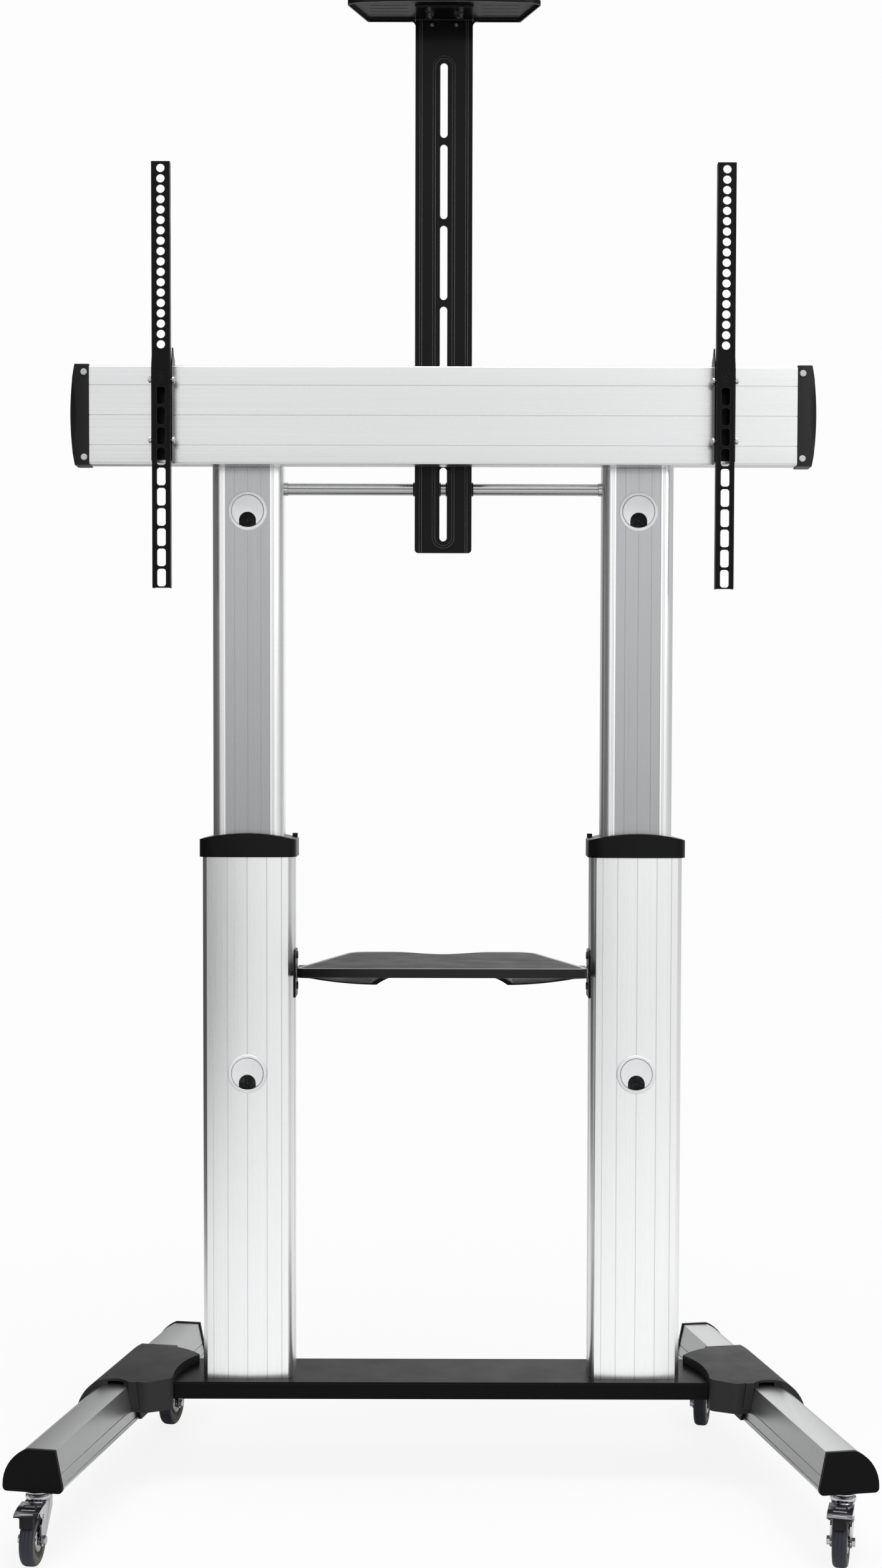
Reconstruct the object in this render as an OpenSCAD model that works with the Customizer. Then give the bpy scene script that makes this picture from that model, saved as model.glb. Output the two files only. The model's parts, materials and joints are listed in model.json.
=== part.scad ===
// Mobile display cart: two telescopic aluminium columns on a splayed four-caster base,
// a cross rail with two sliding display arms, a camera mast and an equipment shelf.
// X runs to the right, Y to the back, Z up. The origin is on the floor, in the middle of the footprint.

/* [Base] */
// Height of the top of the legs and of the base plate above the floor
deck_z = 165; // [160:1:180]
// Depth of the base plate, front to back
plate_d = 136; // [130:1:150]
// Height of the base plate's folded skirt
plate_h = 28; // [22:1:32]
// Angle by which each leg splays outwards towards the front
leg_splay = 10.5; // [8:0.5:12]
// Distance from the middle of the cart to a leg's top face, at the columns
leg_x = 504.6; // [495:0.1:520]
// Length of a leg in front of the columns
leg_front = 417; // [390:1:430]
// Length of a leg behind the columns
leg_rear = 297; // [280:1:310]
// Height of the leg profile
leg_h = 60; // [56:1:62]

/* [Columns] */
// Distance between the two column centre lines
column_spacing = 626; // [600:1:650]
// Width of a lower column
outer_w = 146; // [144:1:148]
// Depth of a lower column at its middle
outer_d = 100; // [98:1:102]
// Top of the lower columns
outer_top = 1032; // [1000:1:1060]
// Width of an upper column
inner_w = 113.5; // [112:0.5:114]
// Depth of an upper column
inner_d = 68; // [66:1:69]
// Bottom end of the upper columns
inner_bottom = 550; // [520:1:550]
// Top end of the upper columns
inner_top = 1776; // [1770:1:1780]
// Height of the cable grommets in the lower columns
lower_grommet_z = 661.5; // [560:0.5:760]
// Height of the cable grommets in the upper columns
upper_grommet_z = 1564.5; // [1500:0.5:1580]

/* [Rail and arms] */
// Underside of the cross rail
rail_z = 1633.5; // [1633:0.5:1640]
// Height of the cross rail
rail_h = 154.5; // [150:0.5:158]
// Length of the cross rail between its end caps
rail_l = 1118; // [1080:1:1160]
// Distance from the middle of the cart to each display arm
arm_x = 441; // [400:1:480]
// Length of a display arm
arm_l = 661; // [655:1:670]
// Lower end of a display arm
arm_z = 1436; // [1430:1:1440]
// Spacing of the round holes in a display arm
hole_pitch = 16; // [15:0.5:16]
// Diameter of the round holes in a display arm
hole_d = 13; // [8:0.5:13.5]

/* [Mast and shelves] */
// Width of the camera mast
mast_w = 91; // [90:1:92]
// Lower end of the camera mast
mast_bottom = 1497.5; // [1490:0.5:1505]
// Underside of the camera shelf
camera_z = 2341; // [2338:1:2345]
// Top of the equipment shelf
tray_z = 841; // [740:1:900]

/* [Casters] */
// Diameter of a caster wheel
wheel_d = 75; // [74:1:76]
// Width of a tyre
tyre_w = 22; // [20:1:23]
// Distance from a caster's swivel axis back to its axle
trail = 31; // [30:1:32]
// Distance from a leg's end face to its caster's swivel axis
caster_inset = 24; // [22:1:30]

/* [Hidden] */
$fn = 48;

// Small distances shared by many parts
gap = 0.2;
run = 0.05;
eps = 1;

// Fasteners
m8_r = 4;
m8_head_r = 6.5;
m8_head_h = 5;
m6_r = 3;
m6_head_r = 5;
m6_head_h = 3;

// Leg profile, measured from the middle of its top face
leg_top_half = 21;
leg_foot = 33.6;
leg_reach = 56.4;
leg_bulge_v = 8;
leg_bulge_dx = leg_reach - leg_top_half;
leg_bulge_r = (pow(leg_h - leg_bulge_v, 2) + pow(leg_bulge_dx, 2)) / (2 * leg_bulge_dx);
leg_bulge_u = leg_reach - leg_bulge_r;
leg_wall = 3;
leg_corner_r = 5;
min_corner_r = 0.5;
leg_z = deck_z - leg_h;
cap_t = 6;
cap_lip = 1.6;
leg_mid_u = (leg_reach - leg_foot) / 2;

// Base plate
sheet_t = 3.5;
plate_lip = 1;
flange_t = 5;
leg_bolt_y = 40;
leg_bolt_v = 30;

// Column profile
outer_wall = 3;
bow_r = 504;
outer_r = 20;
port_x = 61.5;
port_y = 38.5;
port_r = 6.5;
slot_open = 8.4;
slot_head = 14.4;
slot_depth = 8;
inner_r = 14;
inner_wall = 3;
band_w = 72;
band_t = 1.5;
column_x = column_spacing / 2;

// Collar
collar_z = outer_top - 21.5;
collar_t = 5;
collar_end_h = 28;
collar_mid_h = 38.4;
collar_half = outer_w / 2 + collar_t;
collar_arch = collar_mid_h - collar_end_h;
collar_r = (pow(collar_half, 2) + pow(collar_arch, 2)) / (2 * collar_arch);
lock_x = 30;
lock_z = outer_top - 10;

// Grommets
grommet_r = 31.5;
grommet_cap_r = 25.7;
grommet_barrel_r = 28.5;
grommet_mouth_r = 13.6;
grommet_mouth_v = -15;
grommet_depth = 9;
grommet_lip = 2.5;

// Rail
rail_front = -75;
rail_d = 36;
rail_back = rail_front + rail_d;
rail_top = rail_z + rail_h;
rail_wall = 3;
track_y = rail_front + 12;
track_w = 7;
track_h = 8;
end_cap_t = 27;
cap_screw_v = 10.5;
bracket_w = 96;
bracket_h = 136;
frame_bolt_x = 30;
frame_bolt_zs = [rail_z + 38, rail_z + 118];

// Tie rod
rod_z = 1603;
rod_r = 9.75;
rod_end_t = 6;
rod_half = column_x - inner_w / 2;

// Mast
mast_front = -36;
mast_t = 2.5;
mast_flange = 9;
mast_slot_w = 11.5;
mast_slot_l = 117;
mast_slot_pitch = 127.5;
mast_slot_z = 1516.4;
mast_slots = 6;
mast_top = camera_z;
carrier_front = -26.5;
carrier_t = 4;
carrier_w = 140;
mast_bolt_zs = [mast_slot_z + mast_slot_pitch + 38, mast_slot_z + mast_slot_pitch + 78];
carrier_screw_x = 60;
carrier_screw_zs = [rail_z + 36, rail_z + 116];
tab_l = 60;

// Camera shelf
camera_t = 2.5;
camera_skirt = 4.5;
camera_front_half = 151;
camera_back_half = 121;
camera_back = -30;
camera_front = -112;
camera_bow = 16;
rivet_x = 19;
rivet_drop = 11;
rivet_r = 1.4;

// Equipment shelf
tray_h = 14.5;
tray_t = 2;
tray_wall = 2.5;
tray_front_half = 228.7;
tray_back_half = 153;
tray_front = -145;
tray_back = 144;
tray_wave = 40;
tray_wave_half = 85;
mat_t = 1.5;
mat_margin = 7;
clamp_t = 3;
clamp_h = 77;
clamp_half = 28;
clamp_z = tray_z - 59;
support_half = 58;
shelf_bolt_z = tray_z - 42;

// Display arm and hook
arm_w = 29;
arm_front = -110;
arm_d = 14;
arm_t = 2.5;
arm_hole_z = arm_z + arm_l - 10.5;
arm_holes = 18;
arm_slot_w = 13.5;
arm_slot_l = 27.5;
arm_slot_pitch = 31.5;
arm_slot_z = arm_z + 16;
arm_slots = 10;
hook_t = 1.8;
hook_half = arm_w / 2 + gap + hook_t;
hook_front = arm_front + 8;
hook_fin = 25;
tilt_y = -99;
tilt_low_z = 1667.5;
tilt_high_z = 1761.5;
tilt_max = 8;
tilt_r = 3;

// Casters
wheel_r = wheel_d / 2;
rim_r = 24.5;
hub_bore_r = 4.06;
axle_r = 4;
fork_in = 13.2;
fork_t = 2.5;
fork_out = fork_in + fork_t;
crown_z = 85.5;
crown_t = 3;
race_r = 20;
stem_r = 4;
race_top = leg_z;
pivot_y = -36;
pivot_z = 74;
pedal_half = 18.2;
swivel_front_y = leg_front - caster_inset;
swivel_rear_y = leg_rear - caster_inset;
yaw_front_left = 6;
yaw_front_right = 15;
yaw_rear_left = 14;
yaw_rear_right = 14;

// Places the column plane so that the footprint's middle is at Y = 0
front_reach = swivel_front_y + (trail + wheel_r) * cos(yaw_front_left);
rear_reach = leg_rear + (leg_reach + cap_lip) * sin(leg_splay);
column_y = (front_reach - rear_reach) / 2;

// ---------------------------------------------------------------- helpers

// Everything is drawn around the column plane, which stands behind the footprint's middle
module at_columns()
  translate([0, column_y, 0]) children();

module mirrored()
  mirror([1, 0, 0]) children();

module both_sides() {
  children();
  mirrored() children();
}

// Rounded rectangle centred on the origin
module rounded_rect(w, d, r) {
  square([w - 2 * r, d], center = true);
  square([w, d - 2 * r], center = true);
  for (x = [-1, 1])
    for (y = [-1, 1])
      translate([x * (w / 2 - r), y * (d / 2 - r)]) circle(r = r);
}

// Upright slot centred on the origin, l long from end to end
module slot(w, l) {
  square([w, l - w], center = true);
  for (y = [-1, 1])
    translate([0, y * (l - w) / 2]) circle(d = w);
}

// Cylinder along Y from y0 to y1
module rod_y(r, y0, y1)
  translate([0, y1, 0]) rotate([90, 0, 0]) cylinder(r = r, h = y1 - y0);

// Cylinder along X from x0 to x1
module rod_x(r, x0, x1)
  translate([x0, 0, 0]) rotate([0, 90, 0]) cylinder(r = r, h = x1 - x0);

// Upright sheet: a shape drawn in X and Z, reaching from y0 to y1
module sheet_y(y0, y1)
  translate([0, y1, 0]) rotate([90, 0, 0]) linear_extrude(y1 - y0) children();

// Shape drawn in Y and Z, reaching from x0 to x1
module sheet_x(x0, x1)
  translate([x0, 0, 0]) rotate([90, 0, 90]) linear_extrude(x1 - x0) children();

// Shape drawn in X and Y, reaching from z0 to z1
module slab(z0, z1)
  translate([0, 0, z0]) linear_extrude(z1 - z0) children();

// Points from a to b along a shallow curve that stands sag off the straight line, to its left
function bow(a, b, sag, n = 12) =
  let (along = b - a, side = [-along[1], along[0]] / norm(along))
  [for (i = [0:n]) let (t = i / n) a + t * along + 4 * sag * t * (1 - t) * side];

// Points round the corner b of the path a, b, c with radius r
function fillet(a, b, c, r, n = 6) =
  let (
    u = (a - b) / norm(a - b),
    v = (c - b) / norm(c - b),
    half = acos(u * v) / 2,
    centre = b + (u + v) / norm(u + v) * r / sin(half),
    p = b + u * r / tan(half) - centre,
    q = b + v * r / tan(half) - centre,
    start = atan2(p[1], p[0]),
    sweep = (atan2(q[1], q[0]) - start + 540) % 360 - 180
  )
  [for (i = [0:n]) centre + r * [cos(start + sweep * i / n), sin(start + sweep * i / n)]];

// Outline shrunk towards a point
function shrink(points, centre, keep) = [for (p = points) centre + keep * (p - centre)];

// Drop of the bowed column face at a distance x from its middle
function face_drop(x) = bow_r - sqrt(bow_r * bow_r - x * x);

// ---------------------------------------------------------------- legs and base

// Leg profile, u outwards and v up, grown by g
module leg_outline(g = 0) {
  corner_r = max(leg_corner_r + g, min_corner_r);
  intersection() {
    polygon(concat(
      fillet([-leg_top_half - g, leg_h + g], [-leg_foot - g, -g], [0, -g], corner_r),
      fillet([0, -g], [leg_reach + g, -g], [leg_reach + g, leg_h], corner_r),
      [[leg_reach + g, leg_h + g], [-leg_top_half - g, leg_h + g]]
    ));
    union() {
      translate([leg_bulge_u, leg_bulge_v]) circle(r = leg_bulge_r + g, $fn = 96);
      translate([-leg_foot - 40, -g]) square([leg_foot + 40 + leg_bulge_u, leg_h + 2 * g]);
    }
  }
}

// Frame of the right leg: x outwards, y along the leg, z up
module along_leg()
  translate([leg_x, 0, 0]) rotate([0, 0, leg_splay]) children();

// Leg profile drawn from y0 to y1 along the leg
module leg_run(y0, y1)
  translate([0, 0, leg_z]) sheet_y(y0, y1) children();

leg_y0 = -leg_front / cos(leg_splay) + cap_t;
leg_y1 = leg_rear / cos(leg_splay) - cap_t;

// Places a caster on the right leg: x outwards and y along the leg from its end face
module at_swivel(front)
  translate([leg_x + (front ? swivel_front_y : -swivel_rear_y) * tan(leg_splay) + leg_mid_u,
             front ? -swivel_front_y : swivel_rear_y, 0]) children();

// The slanted inner side of the leg carries shallow grooves
module leg_grooves() {
  slope = (leg_foot - leg_top_half) / leg_h;
  for (v = [9, 25])
    translate([-leg_foot + v * slope, v]) square([1.4, 1.6], center = true);
}

module leg_body() {
  along_leg() difference() {
    leg_run(leg_y0, leg_y1) difference() {
      leg_outline();
      leg_outline(-leg_wall);
      leg_grooves();
    }
    for (y = [-leg_bolt_y, leg_bolt_y])
      translate([0, y, leg_z + leg_bolt_v]) rod_x(m8_r + run, -leg_foot - eps, -leg_top_half + 4);
  }
}

module leg() {
  difference() {
    leg_body();
    for (front = [true, false])
      at_swivel(front) translate([0, 0, leg_z - eps]) cylinder(r = 6 + run, h = leg_wall + 2 * eps);
  }
}

module leg_right()
  color("silver") at_columns() leg();

module leg_left()
  color("silver") at_columns() mirrored() leg();

// Cap over each leg end, with a lip that stands proud of the profile and a plug inside it
module leg_end_cap(y_face, y_in, plug_in)
  along_leg() difference() {
    union() {
      leg_run(min(y_face, y_in), max(y_face, y_in)) leg_outline(cap_lip);
      leg_run(min(y_in, plug_in), max(y_in, plug_in)) leg_outline(-leg_wall - gap);
    }
    leg_run(min(y_in, plug_in) - eps, max(y_in, plug_in) + eps) leg_outline(-leg_wall - 3);
  }

module leg_end_caps() {
  plug = 9;
  color([0.16, 0.16, 0.17]) at_columns() both_sides() {
    leg_end_cap(leg_y0 - cap_t, leg_y0, leg_y0 + plug);
    leg_end_cap(leg_y1 + cap_t, leg_y1, leg_y1 - plug);
  }
}

// Folded steel tray between the legs, with a slanted flange at each end
module base_plate() {
  half_d = plate_d / 2;
  skirt_d = plate_d - 2 * plate_lip;
  color([0.12, 0.12, 0.12]) at_columns() difference() {
    union() {
      difference() {
        union() {
          slab(deck_z - sheet_t, deck_z) square([2 * leg_x, plate_d], center = true);
          slab(deck_z - plate_h, deck_z - sheet_t) square([2 * leg_x, skirt_d], center = true);
        }
        slab(deck_z - plate_h - eps, deck_z - sheet_t)
          square([2 * leg_x + 2, skirt_d - 2 * sheet_t], center = true);
      }
      both_sides() along_leg() leg_run(-half_d - 10, half_d + 10) flange_section();
    }
    both_sides() along_leg() leg_run(-2 * plate_d, 2 * plate_d) leg_side_space();
    for (y = [-leg_bolt_y, leg_bolt_y])
      both_sides() along_leg() translate([0, y, leg_z + leg_bolt_v])
        rod_x(m8_r + run, -leg_foot - 30, -leg_top_half);
    for (c = [-1, 1])
      for (x = [-port_x, port_x])
        for (y = [-port_y, port_y])
          translate([c * column_x + x, y, deck_z - sheet_t - eps])
            cylinder(r = m8_r + run, h = sheet_t + 2 * eps);
  }
}

// Flange that lies against the leg's slanted side
module flange_section()
  polygon([
    [-leg_foot - gap, 4],
    [-leg_top_half - gap, leg_h],
    [-leg_top_half - gap - flange_t, leg_h],
    [-leg_foot - gap - flange_t, 4]
  ]);

// The room that the leg takes out of the tray
module leg_side_space()
  polygon([
    [-leg_foot - gap, 0],
    [-leg_top_half - gap, leg_h + 2],
    [leg_reach, leg_h + 2],
    [leg_reach, 0]
  ]);

module hex_bolt(length) {
  cylinder(r = m8_r, h = length);
  translate([0, 0, -m8_head_h]) cylinder(r = m8_head_r, h = m8_head_h, $fn = 6);
}

module base_bolts() {
  thread = 24;
  leg_thread = 16;
  color([0.45, 0.45, 0.46]) at_columns() {
    for (c = [-1, 1])
      for (x = [-port_x, port_x])
        for (y = [-port_y, port_y])
          translate([c * column_x + x, y, deck_z - sheet_t]) hex_bolt(thread);
    for (y = [-leg_bolt_y, leg_bolt_y])
      both_sides() along_leg()
        translate([-leg_foot - flange_t + 4, y, leg_z + leg_bolt_v])
          rotate([0, 90, 0]) hex_bolt(leg_thread);
  }
}

// Cover that joins a leg and the base plate, drawn in the leg's frame
hub_front = -97;
hub_back = 123;
hub_mid = (hub_front + hub_back) / 2;
hub_lift = 14;
hub_room = 6;
hub_lip = 8;
hub_skirt = 27;
hub_round_r = 68;
hub_round_u = -3.5;
hub_wall_z = deck_z - 40;
hub_crown_r = 1200;
hub_plan_r = 860;
hub_arch_r = 31;
hub_arch_drop = 20;
hub_wing = concat(
  [[-20, hub_front + 4], [-36, hub_front + 2]],
  fillet([-36, hub_front + 2], [-52, hub_front], [-88, -71], 20, 8),
  fillet([-52, hub_front], [-88, -71], [-84, -40], 14, 8),
  bow([-86, -60], [-93, 64], -9),
  bow([-93, 64], [-20, hub_back - 3], 6)
);

// Section of the saddle over the leg
module saddle_outline(g)
  intersection() {
    leg_outline(g);
    union() {
      translate([hub_round_u, leg_bulge_v]) circle(r = hub_round_r + g - hub_lift, $fn = 96);
      translate([-leg_foot - 40, -20]) square([leg_foot + 40 + hub_round_u, leg_h + 40]);
    }
  }

// Outside of a cover: a saddle over the leg and a wing over the base plate, both gently crowned
module hub_shell() {
  top_z = deck_z + hub_lift;
  intersection() {
    union() {
      leg_run(hub_front, hub_back) intersection() {
        saddle_outline(hub_lift);
        translate([-leg_foot - 20, hub_skirt]) square([150, leg_h]);
      }
      slab(hub_wall_z, top_z) polygon(hub_wing);
    }
    translate([0, hub_mid, top_z - hub_crown_r]) rod_x(hub_crown_r, -200, 200, $fn = 720);
    translate([leg_reach + hub_lift - hub_plan_r, hub_mid, hub_wall_z - eps])
      cylinder(r = hub_plan_r, h = 100, $fn = 720);
  }
}

// One cover; lips at both ends of the saddle close it against the leg
module hub_cover() {
  centre = [-45, 5];
  half_d = plate_d / 2;
  difference() {
    along_leg() hub_shell();
    along_leg() leg_run(hub_front + hub_lip, hub_back - hub_lip) saddle_outline(hub_room);
    along_leg() leg_run(hub_front - eps, hub_back + eps) leg_outline(gap);
    along_leg() translate([leg_bulge_u, hub_front - hub_arch_drop, 0])
      slab(hub_wall_z - 20, deck_z + hub_lift + eps) circle(r = hub_arch_r);
    along_leg() slab(hub_wall_z - eps, deck_z + hub_room) polygon(shrink(hub_wing, centre, 0.93));
    slab(hub_wall_z - eps, deck_z + gap)
      translate([leg_x - 140, -half_d - gap]) square([110, plate_d + 2 * gap]);
    along_leg() leg_run(-half_d - 12, half_d + 12)
      translate([-leg_foot - 22, -4]) square([40, leg_h + 4 + gap]);
    slab(hub_wall_z - eps, deck_z + gap)
      translate([leg_x - 190, half_d - 1]) square([150, 90]);
  }
}

module hub_covers()
  color([0.17, 0.17, 0.18]) at_columns() both_sides() hub_cover();

// ---------------------------------------------------------------- lower columns

// Outside of a lower column: rounded corners and softly bowed front and back
module outer_outline(g = 0) {
  intersection() {
    rounded_rect(outer_w + 2 * g, outer_d + 2 * g, outer_r + g);
    translate([0, bow_r - outer_d / 2]) circle(r = bow_r + g, $fn = 360);
    translate([0, outer_d / 2 - bow_r]) circle(r = bow_r + g, $fn = 360);
  }
}

module outer_room()
  rounded_rect(outer_w - 2 * outer_wall, outer_d - 10, outer_r - outer_wall);

// Channel for the shelf's clamp bolts in the column's inner side
module clamp_track(wall)
  translate([outer_w / 2 - slot_depth / 2 + 1, 0])
    square([slot_depth + 2 * wall, slot_head + 2 * wall], center = true);

module outer_section() {
  difference() {
    union() {
      difference() {
        outer_outline();
        outer_room();
      }
      for (x = [-port_x, port_x])
        for (y = [-port_y, port_y])
          translate([x, y]) circle(r = port_r);
      intersection() {
        outer_outline();
        clamp_track(2);
      }
    }
    for (x = [-port_x, port_x])
      for (y = [-port_y, port_y])
        translate([x, y]) circle(r = m8_r + run);
    translate([outer_w / 2 - slot_depth / 2 - outer_wall / 2, 0])
      square([slot_depth - outer_wall, slot_head], center = true);
    translate([outer_w / 2, 0]) square([2 * slot_depth, slot_open], center = true);
    for (side = [-1, 1])
      for (x = [-55, -31.5, 0, 31.5, 55])
        translate([x, side * (outer_d / 2 - face_drop(x))]) square([1.2, 1.8], center = true);
  }
}

module lower_grommet_hole()
  translate([0, 0, lower_grommet_z]) rod_y(grommet_barrel_r + gap, -outer_d, -outer_d / 2 + 12);

module lock_holes()
  for (x = [-lock_x, lock_x])
    translate([x, 0, lock_z]) rod_y(m8_r + run, inner_d / 2, outer_d);

// Lower column for the left side, with its clamp channel towards the middle of the cart
module outer_column()
  difference() {
    slab(deck_z, outer_top) outer_section();
    lower_grommet_hole();
    lock_holes();
  }

module outer_column_left()
  color("silver") at_columns() translate([-column_x, 0, 0]) outer_column();

module outer_column_right()
  color("silver") at_columns() mirrored() translate([-column_x, 0, 0]) outer_column();

// Arched plastic collar that closes a lower column and guides the upper one
module collar() {
  translate([outer_w / 2 - 6, outer_d / 2 - 14, outer_top + 1]) cube([8, 14, 13]);
  difference() {
    intersection() {
      slab(collar_z, collar_z + collar_mid_h + eps) outer_outline(collar_t);
      translate([0, 0, collar_z + collar_mid_h - collar_r])
        rod_y(collar_r, -outer_d, outer_d, $fn = 360);
    }
    slab(collar_z - eps, outer_top + gap) outer_outline(gap);
    slab(outer_top - eps, outer_top + 30) rounded_rect(inner_w + 1.6, inner_d + 1.6, inner_r + 0.8);
    lock_holes();
  }
}

module collars()
  color([0.09, 0.09, 0.1]) at_columns() both_sides() translate([-column_x, 0, 0]) collar();

// Slippery ring between the two columns, at the top of the lower one
module guide_bush()
  difference() {
    slab(outer_top - 40, outer_top) difference() {
      rounded_rect(outer_w - 2 * outer_wall - 2 * gap, outer_d - 10 - 2 * gap, outer_r - outer_wall - gap);
      rounded_rect(inner_w + 0.6, inner_d + 0.6, inner_r + 0.3);
      for (x = [-port_x, port_x])
        for (y = [-port_y, port_y])
          translate([x, y]) circle(r = port_r + gap);
      clamp_track(2 + gap);
    }
    lock_holes();
  }

module guide_bushes()
  color([0.85, 0.85, 0.82]) at_columns() both_sides() translate([-column_x, 0, 0]) guide_bush();

// Socket screws at the back of each collar press on the upper column and hold its height
module height_lock_bolts() {
  head_y = outer_d / 2 + collar_t + gap;
  socket_r = 3.5;
  color([0.2, 0.2, 0.2]) at_columns() for (c = [-1, 1])
    for (x = [-lock_x, lock_x])
      translate([c * column_x + x, 0, lock_z]) difference() {
        union() {
          rod_y(m8_r, inner_d / 2 + 0.4, head_y + eps);
          rod_y(m8_head_r, head_y, head_y + 8);
        }
        rotate([90, 0, 0]) translate([0, 0, -head_y - 9]) cylinder(r = socket_r, h = 5, $fn = 6);
      }
}

// ---------------------------------------------------------------- grommets

// Opening of a grommet: round at the top, running straight down to the edge of its cap
module mouth_shape() {
  translate([0, grommet_mouth_v]) circle(r = grommet_mouth_r);
  translate([-grommet_mouth_r, grommet_mouth_v - 20]) square([2 * grommet_mouth_r, 20]);
}

// One cable grommet whose flange lies on the plane y = 0 and faces -Y, with a seam around its cap
module grommet(depth) {
  seam_d = 1.6;
  seam_w = 1;
  difference() {
    union() {
      rotate([90, 0, 0]) rotate_extrude($fn = 96) polygon([
        [grommet_cap_r + run, 0],
        [grommet_cap_r + run, grommet_lip - seam_d],
        [grommet_cap_r + seam_w, grommet_lip],
        [grommet_r - 1.5, grommet_lip * 0.8],
        [grommet_r, gap],
        [grommet_r, 0]
      ]);
      difference() {
        rod_y(grommet_barrel_r, -run, depth);
        rod_y(grommet_barrel_r - 1.5, -2 * eps, depth + eps);
      }
    }
    rod_y(grommet_cap_r + run, -10, 0);
  }
  difference() {
    rotate([90, 0, 0]) rotate_extrude($fn = 96) polygon([
      [0, -2],
      [grommet_cap_r, -2],
      [grommet_cap_r, grommet_lip - seam_d],
      [grommet_cap_r - seam_w, grommet_lip - 0.3],
      [12, grommet_lip - 1],
      [0, grommet_lip - 1.3]
    ]);
    sheet_y(-10, 10) mouth_shape();
  }
}

// Bristle pad behind the opening, parted by fine radial cuts
module grommet_brush() {
  pad = grommet_mouth_r - run;
  sheet_y(-1, 1) difference() {
    intersection() {
      union() {
        translate([0, grommet_mouth_v]) circle(r = pad);
        translate([-pad, grommet_mouth_v - 20]) square([2 * pad, 20]);
      }
      circle(r = grommet_cap_r - 0.1);
    }
    for (a = [15:30:345])
      translate([0, grommet_mouth_v]) rotate(a) translate([3, -0.15]) square([7.5, 0.3]);
  }
}

module lower_grommets()
  color([0.82, 0.83, 0.84]) at_columns() both_sides()
    translate([-column_x, -outer_d / 2 - run, lower_grommet_z]) grommet(grommet_depth);

module lower_grommet_brushes()
  color([0.08, 0.08, 0.08]) at_columns() both_sides()
    translate([-column_x, -outer_d / 2 - run, lower_grommet_z]) grommet_brush();

module upper_grommets()
  color([0.82, 0.83, 0.84]) at_columns() both_sides()
    translate([-column_x, -inner_d / 2 + band_t - run, upper_grommet_z]) grommet(grommet_depth);

module upper_grommet_brushes()
  color([0.08, 0.08, 0.08]) at_columns() both_sides()
    translate([-column_x, -inner_d / 2 + band_t - run, upper_grommet_z]) grommet_brush();

// ---------------------------------------------------------------- upper columns

module inner_section()
  difference() {
    rounded_rect(inner_w, inner_d, inner_r);
    rounded_rect(inner_w - 2 * inner_wall, inner_d - 4 * inner_wall, inner_r - inner_wall);
    for (side = [-1, 1])
      translate([0, side * inner_d / 2]) {
        square([band_w, 2 * band_t], center = true);
        for (x = [-21, 0, 21])
          translate([x, -side * band_t]) square([0.7, 0.7], center = true);
        for (x = [39.5, 41.7])
          for (m = [-1, 1])
            translate([m * x, 0]) square([0.8, 1.4], center = true);
      }
  }

module inner_column()
  difference() {
    slab(inner_bottom, inner_top) inner_section();
    translate([0, 0, upper_grommet_z]) rod_y(grommet_barrel_r + gap, -inner_d, -inner_d / 2 + 12);
    for (x = [-frame_bolt_x, frame_bolt_x])
      for (z = frame_bolt_zs)
        translate([x, 0, z]) rod_y(m8_r + run, -inner_d, inner_d);
  }

module inner_column_left()
  color([0.72, 0.73, 0.74]) at_columns() translate([-column_x, 0, 0]) inner_column();

module inner_column_right()
  color([0.72, 0.73, 0.74]) at_columns() translate([column_x, 0, 0]) inner_column();

// Slippery foot on the upper column, which keeps it centred in the lower one
module slide_shoe() {
  shoe_h = 26;
  foot_t = 4;
  loose = 0.5;
  room_w = outer_w - 2 * outer_wall - 2 * loose;
  room_d = outer_d - 10 - 2 * loose;
  module shoe_outline()
    difference() {
      rounded_rect(room_w, room_d, outer_r - outer_wall - loose);
      for (x = [-port_x, port_x])
        for (y = [-port_y, port_y])
          translate([x, y]) circle(r = port_r + loose);
      clamp_track(2 + loose);
    }
  slab(inner_bottom, inner_bottom + shoe_h) difference() {
    shoe_outline();
    rounded_rect(inner_w + gap, inner_d + gap, inner_r + gap / 2);
  }
  slab(inner_bottom - foot_t, inner_bottom) difference() {
    shoe_outline();
    rounded_rect(inner_w - 30, inner_d - 30, 5);
  }
}

module slide_shoes()
  color([0.85, 0.85, 0.82]) at_columns() both_sides() translate([-column_x, 0, 0]) slide_shoe();

// ---------------------------------------------------------------- rail

// Rail profile in Y and Z: hooks ride in the track on its top
module rail_section() {
  chambers = 3;
  top_t = track_h + 4;
  room_h = (rail_h - top_t - rail_wall * chambers) / chambers;
  difference() {
    translate([rail_front + rail_d / 2, rail_z + rail_h / 2]) rounded_rect(rail_d, rail_h, 3);
    for (i = [0:chambers - 1])
      translate([rail_front + rail_wall, rail_z + rail_wall + i * (room_h + rail_wall)])
        square([rail_d - 2 * rail_wall - 3, room_h]);
    translate([track_y - track_w / 2, rail_top - track_h]) square([track_w, track_h + eps]);
    for (drop = [31, 78, 125])
      translate([rail_front, rail_top - drop]) square([1.8, 1.6], center = true);
  }
}

module rail()
  color([0.8, 0.81, 0.82]) at_columns() difference() {
    sheet_x(-rail_l / 2, rail_l / 2) rail_section();
    for (c = [-1, 1])
      for (x = [-frame_bolt_x, frame_bolt_x])
        for (z = frame_bolt_zs)
          translate([c * column_x + x, 0, z]) rod_y(m8_r + run, rail_back - 8, rail_back + eps);
    for (x = [-carrier_screw_x, carrier_screw_x])
      for (z = carrier_screw_zs)
        translate([x, 0, z]) rod_y(m6_r + run, rail_back - 8, rail_back + eps);
  }

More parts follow.
